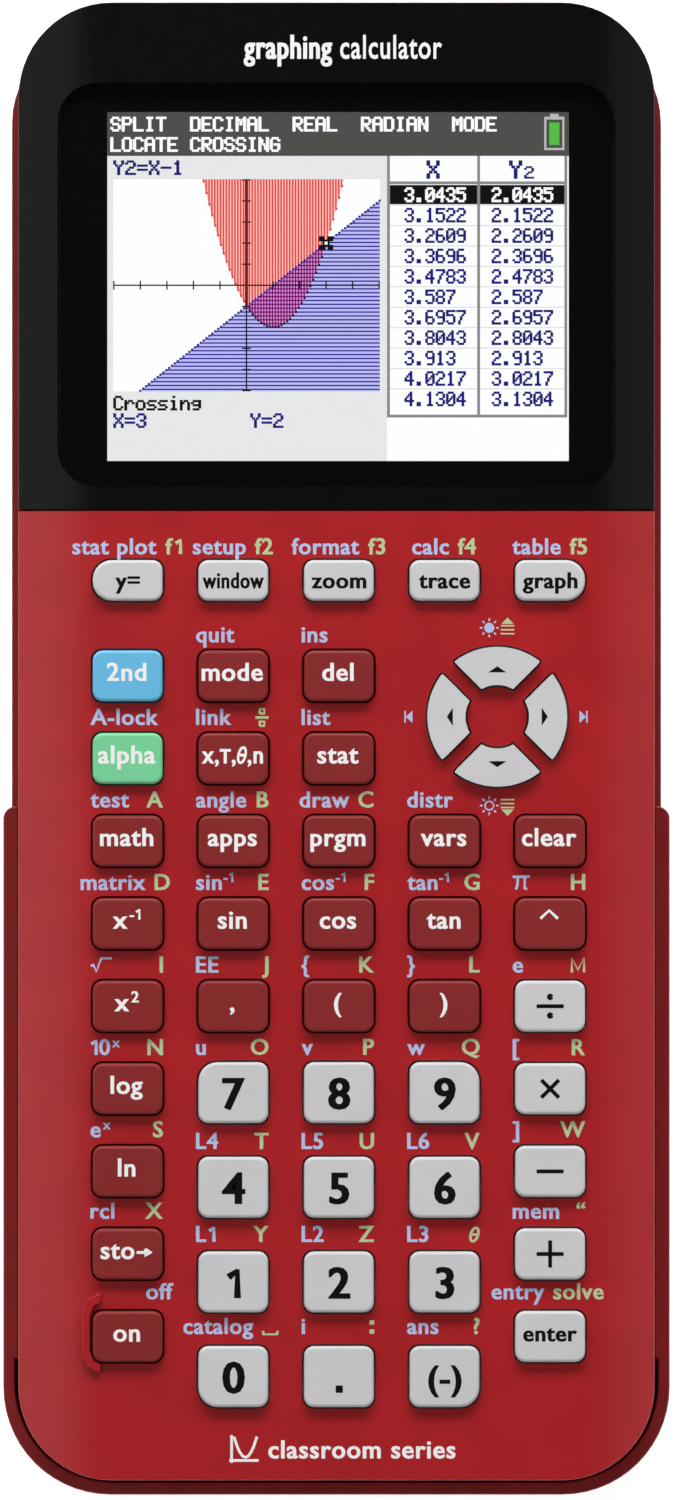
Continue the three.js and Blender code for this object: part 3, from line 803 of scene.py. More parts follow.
legend = {
    "lift": 1.93,            # middle of the words above the key's edge
    "shortLift": 0.1,        # more above the shorter keys
    "spread": 0.6,           # the rows stand further off towards the foot
    "spreadFrom": -43,
    "spreadOver": 36,
    "aside": 0.3,            # the words are set this far left of the keys
    "offPast": 1.3,
    "menuAside": 0.25,
    "menuLift": 1.75,
    "pairGap": 1.1,         # between two words that sit over one key
    "past": 0.35,            # the right word may run this far past the key
}


# The words over the keys: light blue on the left, green on the right.
def buildLegends(finishes):
    cap = capHeights["above"]
    blue, green = bmesh.new(), bmesh.new()
    bodyWide = 2 * halfWidth
    for node, _, leftWord, rightWord in menuKeys + darkKeys + lightKeys + colourKeys:
        x, y, width, length = keyPlan(node)
        menu = length < 6
        x -= legend["aside"]
        lift = legend["menuLift"] if menu else legend["lift"]
        if not menu and length <= keyShape["tallFrom"]:
            lift += legend["shortLift"]
        downward = max(0.0, min(1.0, (legend["spreadFrom"] - y) / legend["spreadOver"]))
        wordY = y + length / 2 + lift + legend["spread"] * downward ** 2
        leftEdge, rightEdge = x - width / 2, x + width / 2 + legend["past"]
        if node == "key_on":
            rightEdge += legend["offPast"]
        made = [label(word, cap) if word else None for word in (leftWord, rightWord)]
        spans = [widthOf(bm)[1] - widthOf(bm)[0] if bm else 0.0 for bm in made]
        needed = sum(spans) + (legend["pairGap"] if all(made) else 0)
        if needed > rightEdge - leftEdge or (menu and all(made)):
            leftEdge, rightEdge = x - needed / 2, x + needed / 2
        if menu:
            leftEdge, rightEdge = leftEdge + legend["menuAside"], rightEdge + legend["menuAside"]
        for bm, side, edge in ((made[0], -1, leftEdge), (made[1], 1, rightEdge)):
            if bm:
                placeOn(bm, edge, wordY, faceZ, bodyWide, side, cap / 2, crowned=True)
                merge(blue if side < 0 or node == "key_on" else green, bm)
    addPadSigns(blue, green)
    makePiece("legends_blue", blue, finishes["blueInk"], body, even=False)
    makePiece("legends_green", green, finishes["greenInk"], body, even=False)


padSign = {
    "above": 11.2,           # from the pad's middle to the suns
    "beside": 10.9,          # and to the jumps
    "sunX": -0.85, "sun": 0.55, "rays": (0.85, 1.2),
    "barX": 1.45, "barHalf": (0.85, 0.75, 0.5),      # half length, start below, step
    "stop": 0.55, "stopHalf": 0.75, "wedge": 0.9, "line": 0.19,
}


# The small signs round the arrow keys: bright and dim suns with stacked bars, and the jumps to either end.
def addPadSigns(blue, green):
    padX, padY = padMiddle()
    padX -= legend["aside"] / 2
    ink = letterShape["inkHeight"] / 2

    def put(sheet, points):
        line = stroke([(padX + px, padY + py) for px, py in points], padSign["line"])
        merge(sheet, moved(line, 0, 0, faceZ))

    # A small filled triangle.
    def wedge(sheet, px, py, turn):
        size = padSign["wedge"]
        place = Matrix.Translation((padX + px, padY + py, faceZ)) @ Matrix.Rotation(turn, 4, "Z")
        merge(sheet, post(0, 0, -ink, ink, 1, sides=3), place @ Matrix.Diagonal((size, size * 0.6, 1, 1)))

    def circle(x, y, radius, steps):
        turns = [t * 2 * math.pi / steps for t in range(steps + 1)]
        return [(x + radius * math.cos(turn), y + radius * math.sin(turn)) for turn in turns]

    barX, half = padSign["barX"], padSign["barHalf"]
    for up in (1, -1):
        sunX, sunY = padSign["sunX"], up * padSign["above"]
        put(blue, circle(sunX, sunY, padSign["sun"], 12))
        if up > 0:
            merge(blue, post(padX + sunX, padY + sunY, faceZ - ink, faceZ + ink, padSign["sun"], sides=16))
        inner, outer = [circle(sunX, sunY, reach, 8) for reach in padSign["rays"]]
        for ends in zip(inner[:-1], outer):
            put(blue, ends)
        for level in range(4):
            barY = up * (padSign["above"] - half[1] + level * half[2])
            if level < 3:
                put(green, [(barX - half[0], barY), (barX + half[0], barY)])
            else:
                wedge(green, barX, barY, 0 if up > 0 else math.pi)
    for side in (-1, 1):
        stopX = side * (padSign["beside"] + padSign["stop"])
        put(blue, [(stopX, -padSign["stopHalf"]), (stopX, padSign["stopHalf"])])
        wedge(blue, side * (padSign["beside"] - 0.1), 0, -side * math.pi / 2)


guard = {"gap": 0.40, "wall": 0.95, "proud": 0.8, "reach": 0.95, "round": 0.35, "corner": 2.3,
         "length": 9.9, "rise": 0.45}         # it reaches further up than down


def bossPlaces():
    beside = sheetHigh.x + shell["bossRadius"] + 0.35
    rows = ((34.3, topY - 11), (beside, jointY - 34), (beside, bottomY + 11))
    return [(side * x, y) for x, y in rows for side in (-1, 1)]


# The raised bracket round the outer side of the on key.
def onGuard():
    x, y, width, length = keyPlan("key_on")
    low = faceZ - shell["facePlate"] / 2
    wide = guard["gap"] + guard["wall"]
    across, along = width + 2 * wide, guard["length"]
    y += guard["rise"]
    ring = plate(across, along, guard["corner"], low, faceZ + guard["proud"], x, y, 2)
    inside = plate(across - 2 * guard["wall"], along - 2 * guard["wall"], guard["corner"] - 0.45,
                   low - 1, faceZ + 2, x, y, 2)
    ring = carve(ring, inside, keyOutline("key_on", low - 1, faceZ + 2, keyShape["openingGap"]))
    left = x - width / 2
    keep = block((left - wide - 1, y - length, low - 2), (left + guard["reach"], y + length, faceZ + 3))
    ring = carve(ring, keep, how="INTERSECT")
    return roundLevel(ring, faceZ + guard["proud"], guard["round"], 4)


def buildFrontHousing(finishes):
    plateUnder = faceZ - shell["facePlate"]
    lower = keepSide(crownedBlock(skirtZ, rimRound=shell["rimRound"]), jointY - shell["jointGap"], False)
    hollow = crownedBlock(skirtZ - 2, shell["wall"], shell["facePlate"])
    nodes = [entry[0] for entry in menuKeys + darkKeys + lightKeys + colourKeys]
    gap = keyShape["openingGap"]
    holes = [keyOutline(node, plateUnder - 1, faceZ + 1, gap) for node in nodes]
    holes += [arrowOutline(turn, plateUnder - 1, faceZ + 1, gap) for turn in range(4)]
    lower = carve(lower, hollow, together(holes))
    shellRim = [e for e in rimEdges(lower) if e.verts[0].co.z > plateUnder + 0.6]
    roundEdges(lower, shellRim, shell["holeRound"], 2)
    merge(lower, innerFrame())
    for x, y in bossPlaces():
        under = faceZ - 3.4 if y > jointY else plateUnder + 0.2
        merge(lower, post(x, y, boardLow.z + 1.5, under, shell["bossRadius"], sides=24))
    merge(lower, onGuard())
    makePiece("front_shell", lower, finishes["redShell"], body, ("front_housing",))


# The part of the housing that lies under the bezel and carries the display.
def innerFrame():
    inner = {"inset": 1.5, "wall": 1.4, "top": faceZ - 2.7, "thick": 1.2, "room": 0.3}
    solid = bodyPlate(inner["inset"], skirtZ, inner["top"])
    hollow = bodyPlate(inner["inset"] + inner["wall"], skirtZ - 1, inner["top"] - inner["thick"])
    room = block((panelLow.x - inner["room"], panelLow.y - inner["room"], skirtZ),
                 (panelHigh.x + inner["room"], panelHigh.y + inner["room"], faceZ))
    return keepSide(carve(solid, hollow, room, sideOpenings()), jointY - 2, True)


socket = {"width": 7.7, "height": 3.5, "room": 0.3, "mouth": (6.9, 3.0), "wall": 0.3, "fromTop": 24.0,
          "deep": 6.5, "lightOffset": 8.0, "lightRadius": 0.8}
socketY = topY - socket["fromTop"]
socketZ = boardLow.z + socket["height"] / 2


# Turns a shape made along Z to point out of the right side.
def sideways(x, y=0.0):
    return Matrix.Translation((x, socketY + y, socketZ)) @ Matrix.Rotation(math.pi / 2, 4, "Y")


def sideOpenings():
    half = socket["width"] / 2 + socket["room"]
    tall = socket["height"] / 2 + socket["room"]
    mouth = block((halfWidth - 5, socketY - half, socketZ - tall),
                  (halfWidth + 2, socketY + half, socketZ + tall))
    hole = post(0, 0, -5, 5, socket["lightRadius"], sides=24)
    return merge(mouth, hole, sideways(halfWidth, -socket["lightOffset"]))


def buildSocket(finishes):
    front = boardHigh.x
    rear = front - socket["deep"]
    width, height = socket["mouth"]

    # A shell with round ends, seen end-on, laid along X.
    def sleeve(w, h, low, high):
        bm = plate(h, w, min(h, w) * 0.42, low, high, 0, 0, 6)
        bmesh.ops.transform(bm, matrix=sideways(0), verts=bm.verts)
        return bm

    outer, inner = 0.05, 0.05 + 2 * socket["wall"]
    tube = carve(sleeve(width - outer, height - outer, rear + 0.2, front + 0.1),
                 sleeve(width - inner, height - inner, rear + 0.8, front + 1))
    makePiece("socket_shell", tube, finishes["brightMetal"], body)
    tongue = sleeve(width * 0.55, 0.7, rear + 0.7, front - 1.5)
    makePiece("socket_tongue", tongue, finishes["blackPlastic"], body)
    lens = roundLevel(post(0, 0, -0.9, 0, socket["lightRadius"] - 0.08, sides=24), 0, 0.25, 3)
    bmesh.ops.transform(lens, matrix=sideways(halfWidth - 0.1, -socket["lightOffset"]), verts=lens.verts)
    makePiece("charge_lens", lens, finishes["lens"], body)


bezel = {"skirt": 1.2, "plate": 2.4, "ledge": 1.6, "recessGap": 0.15, "corner": 4.8, "lipRound": 0.45,
         "openingMargin": 0.6, "jointRound": 0.18, "paneRound": 0.2, "print": 0.1, "wordGap": 1.4,
         "wordDrop": 5.6, "wordRoom": 25.0}


# The window's outline, grown by a margin.
def panePlate(margin, low, high):
    return plate(paneHigh.x - paneLow.x + 2 * margin, paneHigh.y - paneLow.y + 2 * margin,
                 bezel["corner"] + margin, low, high, 0, paneY, 10)


def buildBezel(finishes):
    cap = keepSide(crownedBlock(skirtZ, rimRound=shell["rimRound"]), jointY, True)
    hollow = bodyPlate(bezel["skirt"], skirtZ - 1, faceZ - bezel["plate"])
    recess = panePlate(bezel["recessGap"], faceZ - bezel["ledge"], faceZ + 1)
    wide, tall = lcd["width"] / 2 + bezel["openingMargin"], lcd["height"] / 2 + bezel["openingMargin"]
    opening = block((-wide, paneY - tall, skirtZ), (wide, paneY + tall, faceZ + 1))
    cap = carve(cap, hollow, recess, opening, sideOpenings())
    lip = rimEdges(cap, lambda e: e.verts[0].co.z > faceZ - 0.01 and abs(e.verts[0].co.x) < flatHalf + 6
                   and jointY + 1 < e.verts[0].co.y < topY - 6)
    roundEdges(cap, lip, bezel["lipRound"], 3)
    joint = rimEdges(cap, lambda e: all(
        v.co.z > faceZ - 2.5 and abs(v.co.y - jointY) < 1e-3 for v in e.verts))
    roundEdges(cap, joint, bezel["jointRound"], 2)
    makePiece("bezel_shell", cap, finishes["polishedBlack"], body, ("display_bezel",))


def buildWindow(finishes):
    pane = roundLevel(panePlate(0, paneLow.z, paneHigh.z), paneHigh.z, bezel["paneRound"], 3)
    makePiece("window_pane", pane, finishes["clearPane"], body, ("display_window",))
    high = paneLow.z - 0.02
    low = high - bezel["print"]
    ring = panePlate(-0.15, low, high)
    wide, tall = lcd["width"] / 2, lcd["height"] / 2
    ring = carve(ring, block((lcd["aside"] - wide, paneY - lcd["lower"] - tall, low - 1),
                             (lcd["aside"] + wide, paneY - lcd["lower"] + tall, high + 1)))
    makePiece("window_print", ring, finishes["printBlack"], body)
    topWords = label("graphing", capHeights["name"], bold=2, spread=letterShape["darkSpread"])
    secondX = widthOf(topWords)[1] + bezel["wordGap"]
    merge(topWords, label("calculator", capHeights["name"], bold=0), Matrix.Translation((secondX, 0, 0)))
    placeOn(topWords, 0.8, topY - bezel["wordDrop"], faceZ, bezel["wordRoom"], 0, capHeights["name"] / 2)
    makePiece("bezel_words", topWords, finishes["whiteInk"], body, even=False)


# The picture on the display, drawn on its grid of dots, right and down from its top left corner.
lcd = {
    "aside": 0.2, "lower": 0.15,      # how far it stands off the window's middle
    "width": 58.2, "height": 44.0, "across": 320, "down": 240, "dot": 58.2 / 320 * mm,
    "header": 30, "layer": 0.012, "boldDots": 0.62, "boldRows": 1.15,
    "pane": 194, "plot": (4, 46, 185, 146), "unit": (18.4, 14.5), "hatch": 2, "rowHatch": 2.66,
    "table": (194, 30, 125, 180), "tableLine": 2, "rows": 11, "firstRow": 20,
    "rowPitch": 14.05, "firstStep": 28, "stepX": 10 / 92,
    # the charge sign: its case, the case's inside, the charge, and the knob on top
    "battery": (((303, 3, 14, 23), "grey", 2), ((304.5, 5, 11, 19.5), "header", 3),
                ((306.5, 7, 7, 15.5), "green", 4), ((307, 1, 6, 2), "grey", 2)),
}

lcdColours = {
    "header": (0.075, 0.075, 0.070), "paper": (0.79, 0.79, 0.80), "white": (0.97, 0.98, 0.99),
    "ink": (0.004, 0.004, 0.006), "navy": (0.012, 0.010, 0.19), "frame": (0.25, 0.25, 0.25),
    "faint": (0.72, 0.72, 0.74), "pink": (1.0, 0.50, 0.47), "red": (0.72, 0.040, 0.030),
    "pale": (0.50, 0.50, 0.93), "blue": (0.030, 0.020, 0.27), "lilac": (0.72, 0.32, 0.72),
    "purple": (0.19, 0.0, 0.15), "darkRed": (0.20, 0.004, 0.004), "green": (0.09, 0.50, 0.06),
    "grey": (0.48, 0.48, 0.48),
}

# Letters of the display, five dots wide and seven high.
dotLetters = {
    "A": ".###. #...# #...# ##### #...# #...# #...#", "C": ".###. #...# #.... #.... #.... #...# .###.",
    "D": "####. #...# #...# #...# #...# #...# ####.", "E": "##### #.... #.... ####. #.... #.... #####",
    "G": ".###. #...# #.... #.### #...# #...# .###.", "I": ".###. ..#.. ..#.. ..#.. ..#.. ..#.. .###.",
    "L": "#.... #.... #.... #.... #.... #.... #####", "M": "#...# ##.## #.#.# #.#.# #...# #...# #...#",
    "N": "#...# ##..# ##..# #.#.# #..## #..## #...#", "O": ".###. #...# #...# #...# #...# #...# .###.",
    "P": "####. #...# #...# ####. #.... #.... #....", "R": "####. #...# #...# ####. #.#.. #..#. #...#",
    "S": ".###. #...# #.... .###. ....# #...# .###.", "T": "##### ..#.. ..#.. ..#.. ..#.. ..#.. ..#..",
    "U": "#...# #...# #...# #...# #...# #...# .###.", "X": "#...# #...# .#.#. ..#.. .#.#. #...# #...#",
    "Y": "#...# #...# .#.#. ..#.. ..#.. ..#.. ..#..", "H": "#...# #...# #...# ##### #...# #...# #...#",
    "0": ".###. #...# #..## #.#.# ##..# #...# .###.", "1": "..#.. .##.. ..#.. ..#.. ..#.. ..#.. .###.",
    "2": ".###. #...# ....# ..##. .#... #.... #####", "3": ".###. #...# ....# ..##. ....# #...# .###.",
    "4": "...#. ..##. .#.#. #..#. ##### ...#. ...#.", "5": "##### #.... ####. ....# ....# #...# .###.",
    "6": ".###. #.... #.... ####. #...# #...# .###.", "7": "##### ....# ...#. ..#.. ..#.. .#... .#...",
    "8": ".###. #...# #...# .###. #...# #...# .###.", "9": ".###. #...# #...# .#### ....# ....# .###.",
    ".": "..... ..... ..... ..... ..... .##.. .##..", "=": "..... ..... ##### ..... ##### ..... .....",
    "-": "..... ..... ..... ##### ..... ..... .....", "c": "..... ..... .###. #.... #.... #...# .###.",
    "r": "..... ..... #.##. ##..# #.... #.... #....", "o": "..... ..... .###. #...# #...# #...# .###.",
    "s": "..... ..... .#### #.... .###. ....# ####.", "i": "..#.. ..... .##.. ..#.. ..#.. ..#.. .###.",
    "n": "..... ..... #.##. ##..# #...# #...# #...#", "g": "..... ..... .#### #...# .#### ....# .###.",
    "t": ".#... .#... ###.. .#... .#... .#..# ..##.", "e": "..... ..... .###. #...# ##### #.... .###.",
}


# Paints the display's picture: rectangles of colour in thin layers.
class DotPicture:
    def __init__(self, z):
        self.bm = bmesh.new()
        self.z = z
        self.names = list(lcdColours)
        self.scale = lcd["width"] / lcd["across"], lcd["height"] / lcd["down"]

    def dab(self, left, top, width, height, colour, layer=0):
        across, down = self.scale
        x = lcd["aside"] + (left + width / 2) * across - lcd["width"] / 2
        y = paneY - lcd["lower"] + lcd["height"] / 2 - (top + height / 2) * down
        place = Matrix.LocRotScale(Vector((x, y, self.z + layer * lcd["layer"])), None,
                                   Vector((width * across / 2, height * down / 2, 1)))
        made = bmesh.ops.create_grid(self.bm, x_segments=1, y_segments=1, size=1, matrix=place)
        made["verts"][0].link_faces[0].material_index = self.names.index(colour)

    def write(self, words, left, top, colour, pitch, height=10, layer=3):
        cellX, cellY = pitch / 6, height / 7
        for place, sign in enumerate(words):
            for row, dots in enumerate(dotLetters.get(sign, "").split()):
                start = None
                for column, dot in enumerate(dots + "."):
                    if dot == "#" and start is None:
                        start = column
                    if dot != "#" and start is not None:
                        wide = (column - start + lcd["boldDots"]) * cellX
                        self.dab(left + place * pitch + start * cellX, top + row * cellY, wide,
                                 cellY * lcd["boldRows"], colour, layer)
                        start = None


def drawGraph(picture):
    left, top, wide, high = lcd["plot"]
    unitX, unitY = lcd["unit"]
    middleX, middleRow = left + wide / 2, top + high / 2

    def parabola(column):
        x = (column - middleX) / unitX
        return middleRow - ((x - 1) ** 2 - 2) * unitY

    def line(column):
        return middleRow - ((column - middleX) / unitX - 1) * unitY

    # Where the parabola crosses a row, and where the line does.
    def lobe(row):
        rise = (middleRow - row) / unitY + 2
        if rise <= 0:
            return None
        return [middleX + (1 + way * math.sqrt(rise)) * unitX for way in (-1, 1)]

    def lineAt(row):
        return middleX + ((middleRow - row) / unitY + 1) * unitX

    picture.dab(left, top, wide, high, "white", 1.5)
    for row in range(top, top + high):
        start = max(left, lineAt(row + 0.5))
        if start < left + wide:
            picture.dab(start, row, left + wide - start, 1, "pale", 2)
        found = lobe(row + 0.5)
        if found:
            a, b = max(left, found[0]), min(left + wide, found[1])
            split = min(max(a, start), b)
            if split > a:
                picture.dab(a, row, split - a, 1, "pink", 2)
            if b > split:
                picture.dab(split, row, b - split, 1, "lilac", 3)
    row = top + 0.5
    while row < top + high:
        start = max(left, lineAt(row + 0.5))
        if start < left + wide:
            picture.dab(start, row, left + wide - start, 1, "blue", 3.3)
        found = lobe(row + 0.5)
        if found and found[1] > start:
            a = max(start, found[0])
            picture.dab(a, row, found[1] - a, 1, "purple", 3.6)
        row += lcd["rowHatch"]
    for column in range(left, left + wide, lcd["hatch"]):
        bottom = parabola(column + 0.5)
        if bottom > top:
            turn = line(column + 0.5)
            picture.dab(column, top, 1, min(bottom, turn) - top, "red", 4)
            if turn < bottom:
                picture.dab(column, turn, 1, bottom - turn, "purple", 5)
    for column in range(left, left + wide, 2):
        low, slope = parabola(column + 0.5), line(column + 0.5)
        if low > top:
            picture.dab(column, low - 1, 1.6, 1.6, "ink" if low > slope else "red", 6)
        if top < slope < top + high:
            picture.dab(column, slope - 1, 1.6, 1.6, "blue", 6)
    picture.dab(left, middleRow - 0.5, wide, 1, "ink", 7)
    picture.dab(middleX - 0.5, top, 1, high, "ink", 7)
    picture.dab(middleX - 1.1, top, 2.2, parabola(middleX) - top, "darkRed", 7.3)
    for step in range(-5, 6):
        picture.dab(middleX + step * unitX - 0.5, middleRow - 3, 1, 6, "ink", 7)
        picture.dab(middleX - 3, middleRow + step * unitY - 0.5, 6, 1, "ink", 7)
    crossX, crossRow = middleX + 3 * unitX, middleRow - 2 * unitY
    for dx, dy in ((-1, -1), (-1, 1), (1, -1), (1, 1)):
        picture.dab(crossX + dx * 3 - 2, crossRow + dy * 3 - 1.8, 4, 3.6, "ink", 8)
    picture.dab(crossX - 2.5, crossRow - 2.5, 5, 5, "ink", 8)
    picture.dab(crossX - 1, crossRow - 1, 2, 2, "white", 9)


def drawTable(picture):
    left, top, wide, high = lcd["table"]
    pitch, line = lcd["rowPitch"], lcd["tableLine"]
    half = wide / 2
    picture.dab(left, top, wide, high, "white", 1)
    for x in (left, left + half, left + wide - line):
        picture.dab(x, top, line, high, "frame", 4)
    for y in (top + high - line, top + 17.5):
        picture.dab(left, y, wide, line, "frame", 4)
    picture.write("X", left + half / 2 - 4, top + 3, "navy", 10, 12.5)
    picture.write("Y", left + half + 22, top + 3, "navy", 10, 12.5)
    picture.write("2", left + half + 32.5, top + 7, "navy", 7.5, 8.5)
    for row in range(lcd["rows"]):
        y = top + lcd["firstRow"] + row * pitch
        if row:
            picture.dab(left + line, y - 0.6, wide - 2 * line, 0.8, "faint", 2)
        else:
            picture.dab(left + line, y, wide - 2 * line, pitch - 0.8, "ink", 3)
        value = (lcd["firstStep"] + row) * lcd["stepX"]
        for start, number in ((left + 12, value), (left + half + 10, value - 1)):
            words = f"{number:.4f}".rstrip("0")
            picture.write(words, start, y + 1.6, "white" if row == 0 else "navy", 7.2, 10, 5)


def buildPicture(finishes):
    picture = DotPicture(panelHigh.z + 0.04)
    picture.dab(0, 0, lcd["across"], lcd["down"], "white")
    picture.dab(0, 0, lcd["across"], lcd["header"], "header", 1)
    picture.dab(0, lcd["header"], lcd["pane"], lcd["down"] - lcd["header"], "paper", 1)
    picture.write("SPLIT  DECIMAL  REAL  RADIAN  MODE", 2, 3, "white", 7.9, 10)
    picture.write("LOCATE CROSSING", 2, 17, "white", 7.9, 10)
    for place, colour, layer in lcd["battery"]:
        picture.dab(*place, colour, layer)
    picture.write("Y2=X-1", 4, 33, "navy", 8.2, 10)
    drawGraph(picture)
    picture.write("Crossing", 4, 195, "ink", 7.7, 10)
    picture.write("X=3", 4, 207, "navy", 7.9, 10)
    picture.write("Y=2", 99, 207, "navy", 7.9, 10)
    drawTable(picture)
    colours = [finishes["glow_" + name] for name in picture.names]
    makePiece("display_picture", picture.bm, colours, body, even=False)


back = {"hair": 0.03, "inset": 1.3, "round": 2.4, "wall": 1.5, "floor": 1.5, "railBottom": 1.6,
        "railShort": 3.0, "doorGap": 0.3, "doorCorner": 3.0, "doorLength": 45.0, "doorThick": 1.2,
        "doorScrew": 4.2, "hookX": 13.0, "hookHalf": 4.5, "hookLong": 3.5,
        "ribs": 5, "ribPitch": 1.6, "ribWide": 0.6, "ribHalf": 9.0, "ribFrom": 33.0,
        "wellRadius": 1.8, "wellDeep": 2.6, "turretRadius": 2.5,
        "label": (46.0, 22.0, 0.35), "labelY": -40.0, "resetRadius": 0.8, "resetDrop": 14.0,
        "footX": 27.0, "footIn": (16.0, 18.0), "footRadius": 3.2, "footProud": 0.4}


def screwWells():
    return [post(x, y, backLow.z - 1, backLow.z + back["wellDeep"], back["wellRadius"], sides=28)
            for x, y in bossPlaces()]


def buildBackHousing(finishes):
    top = skirtZ - shell["jointGap"]
    railZ = top - back["railBottom"]
    hair = back["hair"]
    tray = roundLevel(bodyPlate(back["inset"], backLow.z, top - 5 * hair, 12), backLow.z, back["round"], 5)
    rim = bodyPlate(0, railZ, top, 12)
    rail = plate(2 * backHigh.x, topY - bottomY - back["railShort"] - hair, shell["corner"], railZ + hair,
                 top - hair, 0, middleY - back["railShort"] / 2 + hair / 2, 12)
    rail = keepSide(rail, cover["reliefTop"], True)
    solid = carve(tray, rim, rail, how="UNION")
    room = bodyPlate(back["inset"] + back["wall"], backLow.z + back["floor"], top + 1, 10)
    gap = back["doorGap"]
    opening = plate(doorHigh.x - doorLow.x + 2 * gap, back["doorLength"] + 2 * gap, back["doorCorner"] + gap,
                    backLow.z - 1, top, 0, doorLow.y + back["doorLength"] / 2, 6)
    reset = post(0, jointY - back["resetDrop"], backLow.z - 1, backLow.z + 3, back["resetRadius"], sides=20)
    width, length, deep = back["label"]
    recess = plate(width, length, 2.0, backLow.z - 1, backLow.z + deep, 0, back["labelY"], 6)
    turrets = [post(x, y, backLow.z + 0.8, boardLow.z + 1.2, back["turretRadius"], sides=24)
               for x, y in bossPlaces()]
    solid = carve(solid, room, opening, sideOpenings(), together(screwWells() + [reset, recess]))
    merge(solid, carve(together(turrets), together(screwWells())))
    roundEdges(solid, rimEdges(solid, lambda e: e.verts[0].co.z < backLow.z + 0.01), 0.15, 2)
    makePiece("back_shell", solid, finishes["shadedBackShell"], body, ("back_housing",))


def buildBatteryDoor(finishes):
    z = doorLow.z
    door = plate(doorHigh.x - doorLow.x, back["doorLength"], back["doorCorner"], z, z + back["doorThick"],
                 0, doorLow.y + back["doorLength"] / 2, 8)
    roundLevel(door, z, 0.3, 3)
    screwY = doorLow.y + back["doorScrew"]
    door = carve(door, post(0, screwY, z - 1, z + 0.8, 1.9, sides=28))
    for side in (-1, 1):
        x = side * back["hookX"]
        merge(door, block((x - back["hookHalf"], doorHigh.y - back["hookLong"], z + 0.7),
                          (x + back["hookHalf"], doorHigh.y, doorHigh.z)))
    for rib in range(back["ribs"]):
        y = doorLow.y + back["ribFrom"] + back["ribPitch"] * rib
        merge(door, softened(block((-back["ribHalf"], y, z - 0.25),
                                   (back["ribHalf"], y + back["ribWide"], z + 0.3))))
    makePiece("battery_door", door, finishes["shadedBackShell"], body, ("battery_cover",))
    makePiece("door_screw", screw(0, screwY, z + 0.05, 1.6), finishes["screwMetal"], body)


def softened(bm):
    roundEdges(bm, bm.edges[:], 0.12, 2)
    return bm


# A small cross-head screw, head down.
def screw(x, y, z, radius):
    head = roundLevel(post(0, 0, 0, 0.8, radius, sides=28), 0, 0.25, 3)
    arm, half = radius * 0.62, 0.16
    slots = [block((-a, -b, -1), (a, b, 0.45)) for a, b in ((arm, half), (half, arm))]
    head = carve(head, *slots)
    merge(head, post(0, 0, 0.8, 3.4, radius * 0.5, sides=16))
    return moved(head, x, y, z)


def buildFasteners(finishes):
    for number, (x, y) in enumerate(bossPlaces(), 1):
        z = backLow.z + back["wellDeep"] - 0.85
        fastener = screw(x, y, z, 1.55)
        makePiece(f"housing_screw_{number}", fastener, finishes["screwMetal"], body)
    fromTop, fromBottom = back["footIn"]
    feet = [(side * back["footX"], y) for y in (topY - fromTop, bottomY + fromBottom) for side in (-1, 1)]
    for number, (x, y) in enumerate(feet, 1):
        z = backLow.z - back["footProud"]
        foot = roundLevel(post(x, y, z, backLow.z + 0.1, back["footRadius"], sides=36), z, 0.2, 3)
        makePiece(f"foot_{number}", foot, finishes["rubber"], body)


cover = {"low": 4.5, "lowWidth": 80.7, "round": 2.8, "corner": 13.6, "gripTop": -7.1, "gripCorner": 1.6,
         "railGap": 0.25, "lipGap": 0.15, "lipUnder": 6.7, "endGap": 0.2, "floor": 1.6, "lipRound": 0.45,
         "recess": (44.0, 18.0, 0.3),
         "reliefGap": 0.6, "reliefTop": -77.0, "reliefFloor": 3.2}     # more room round the foot end


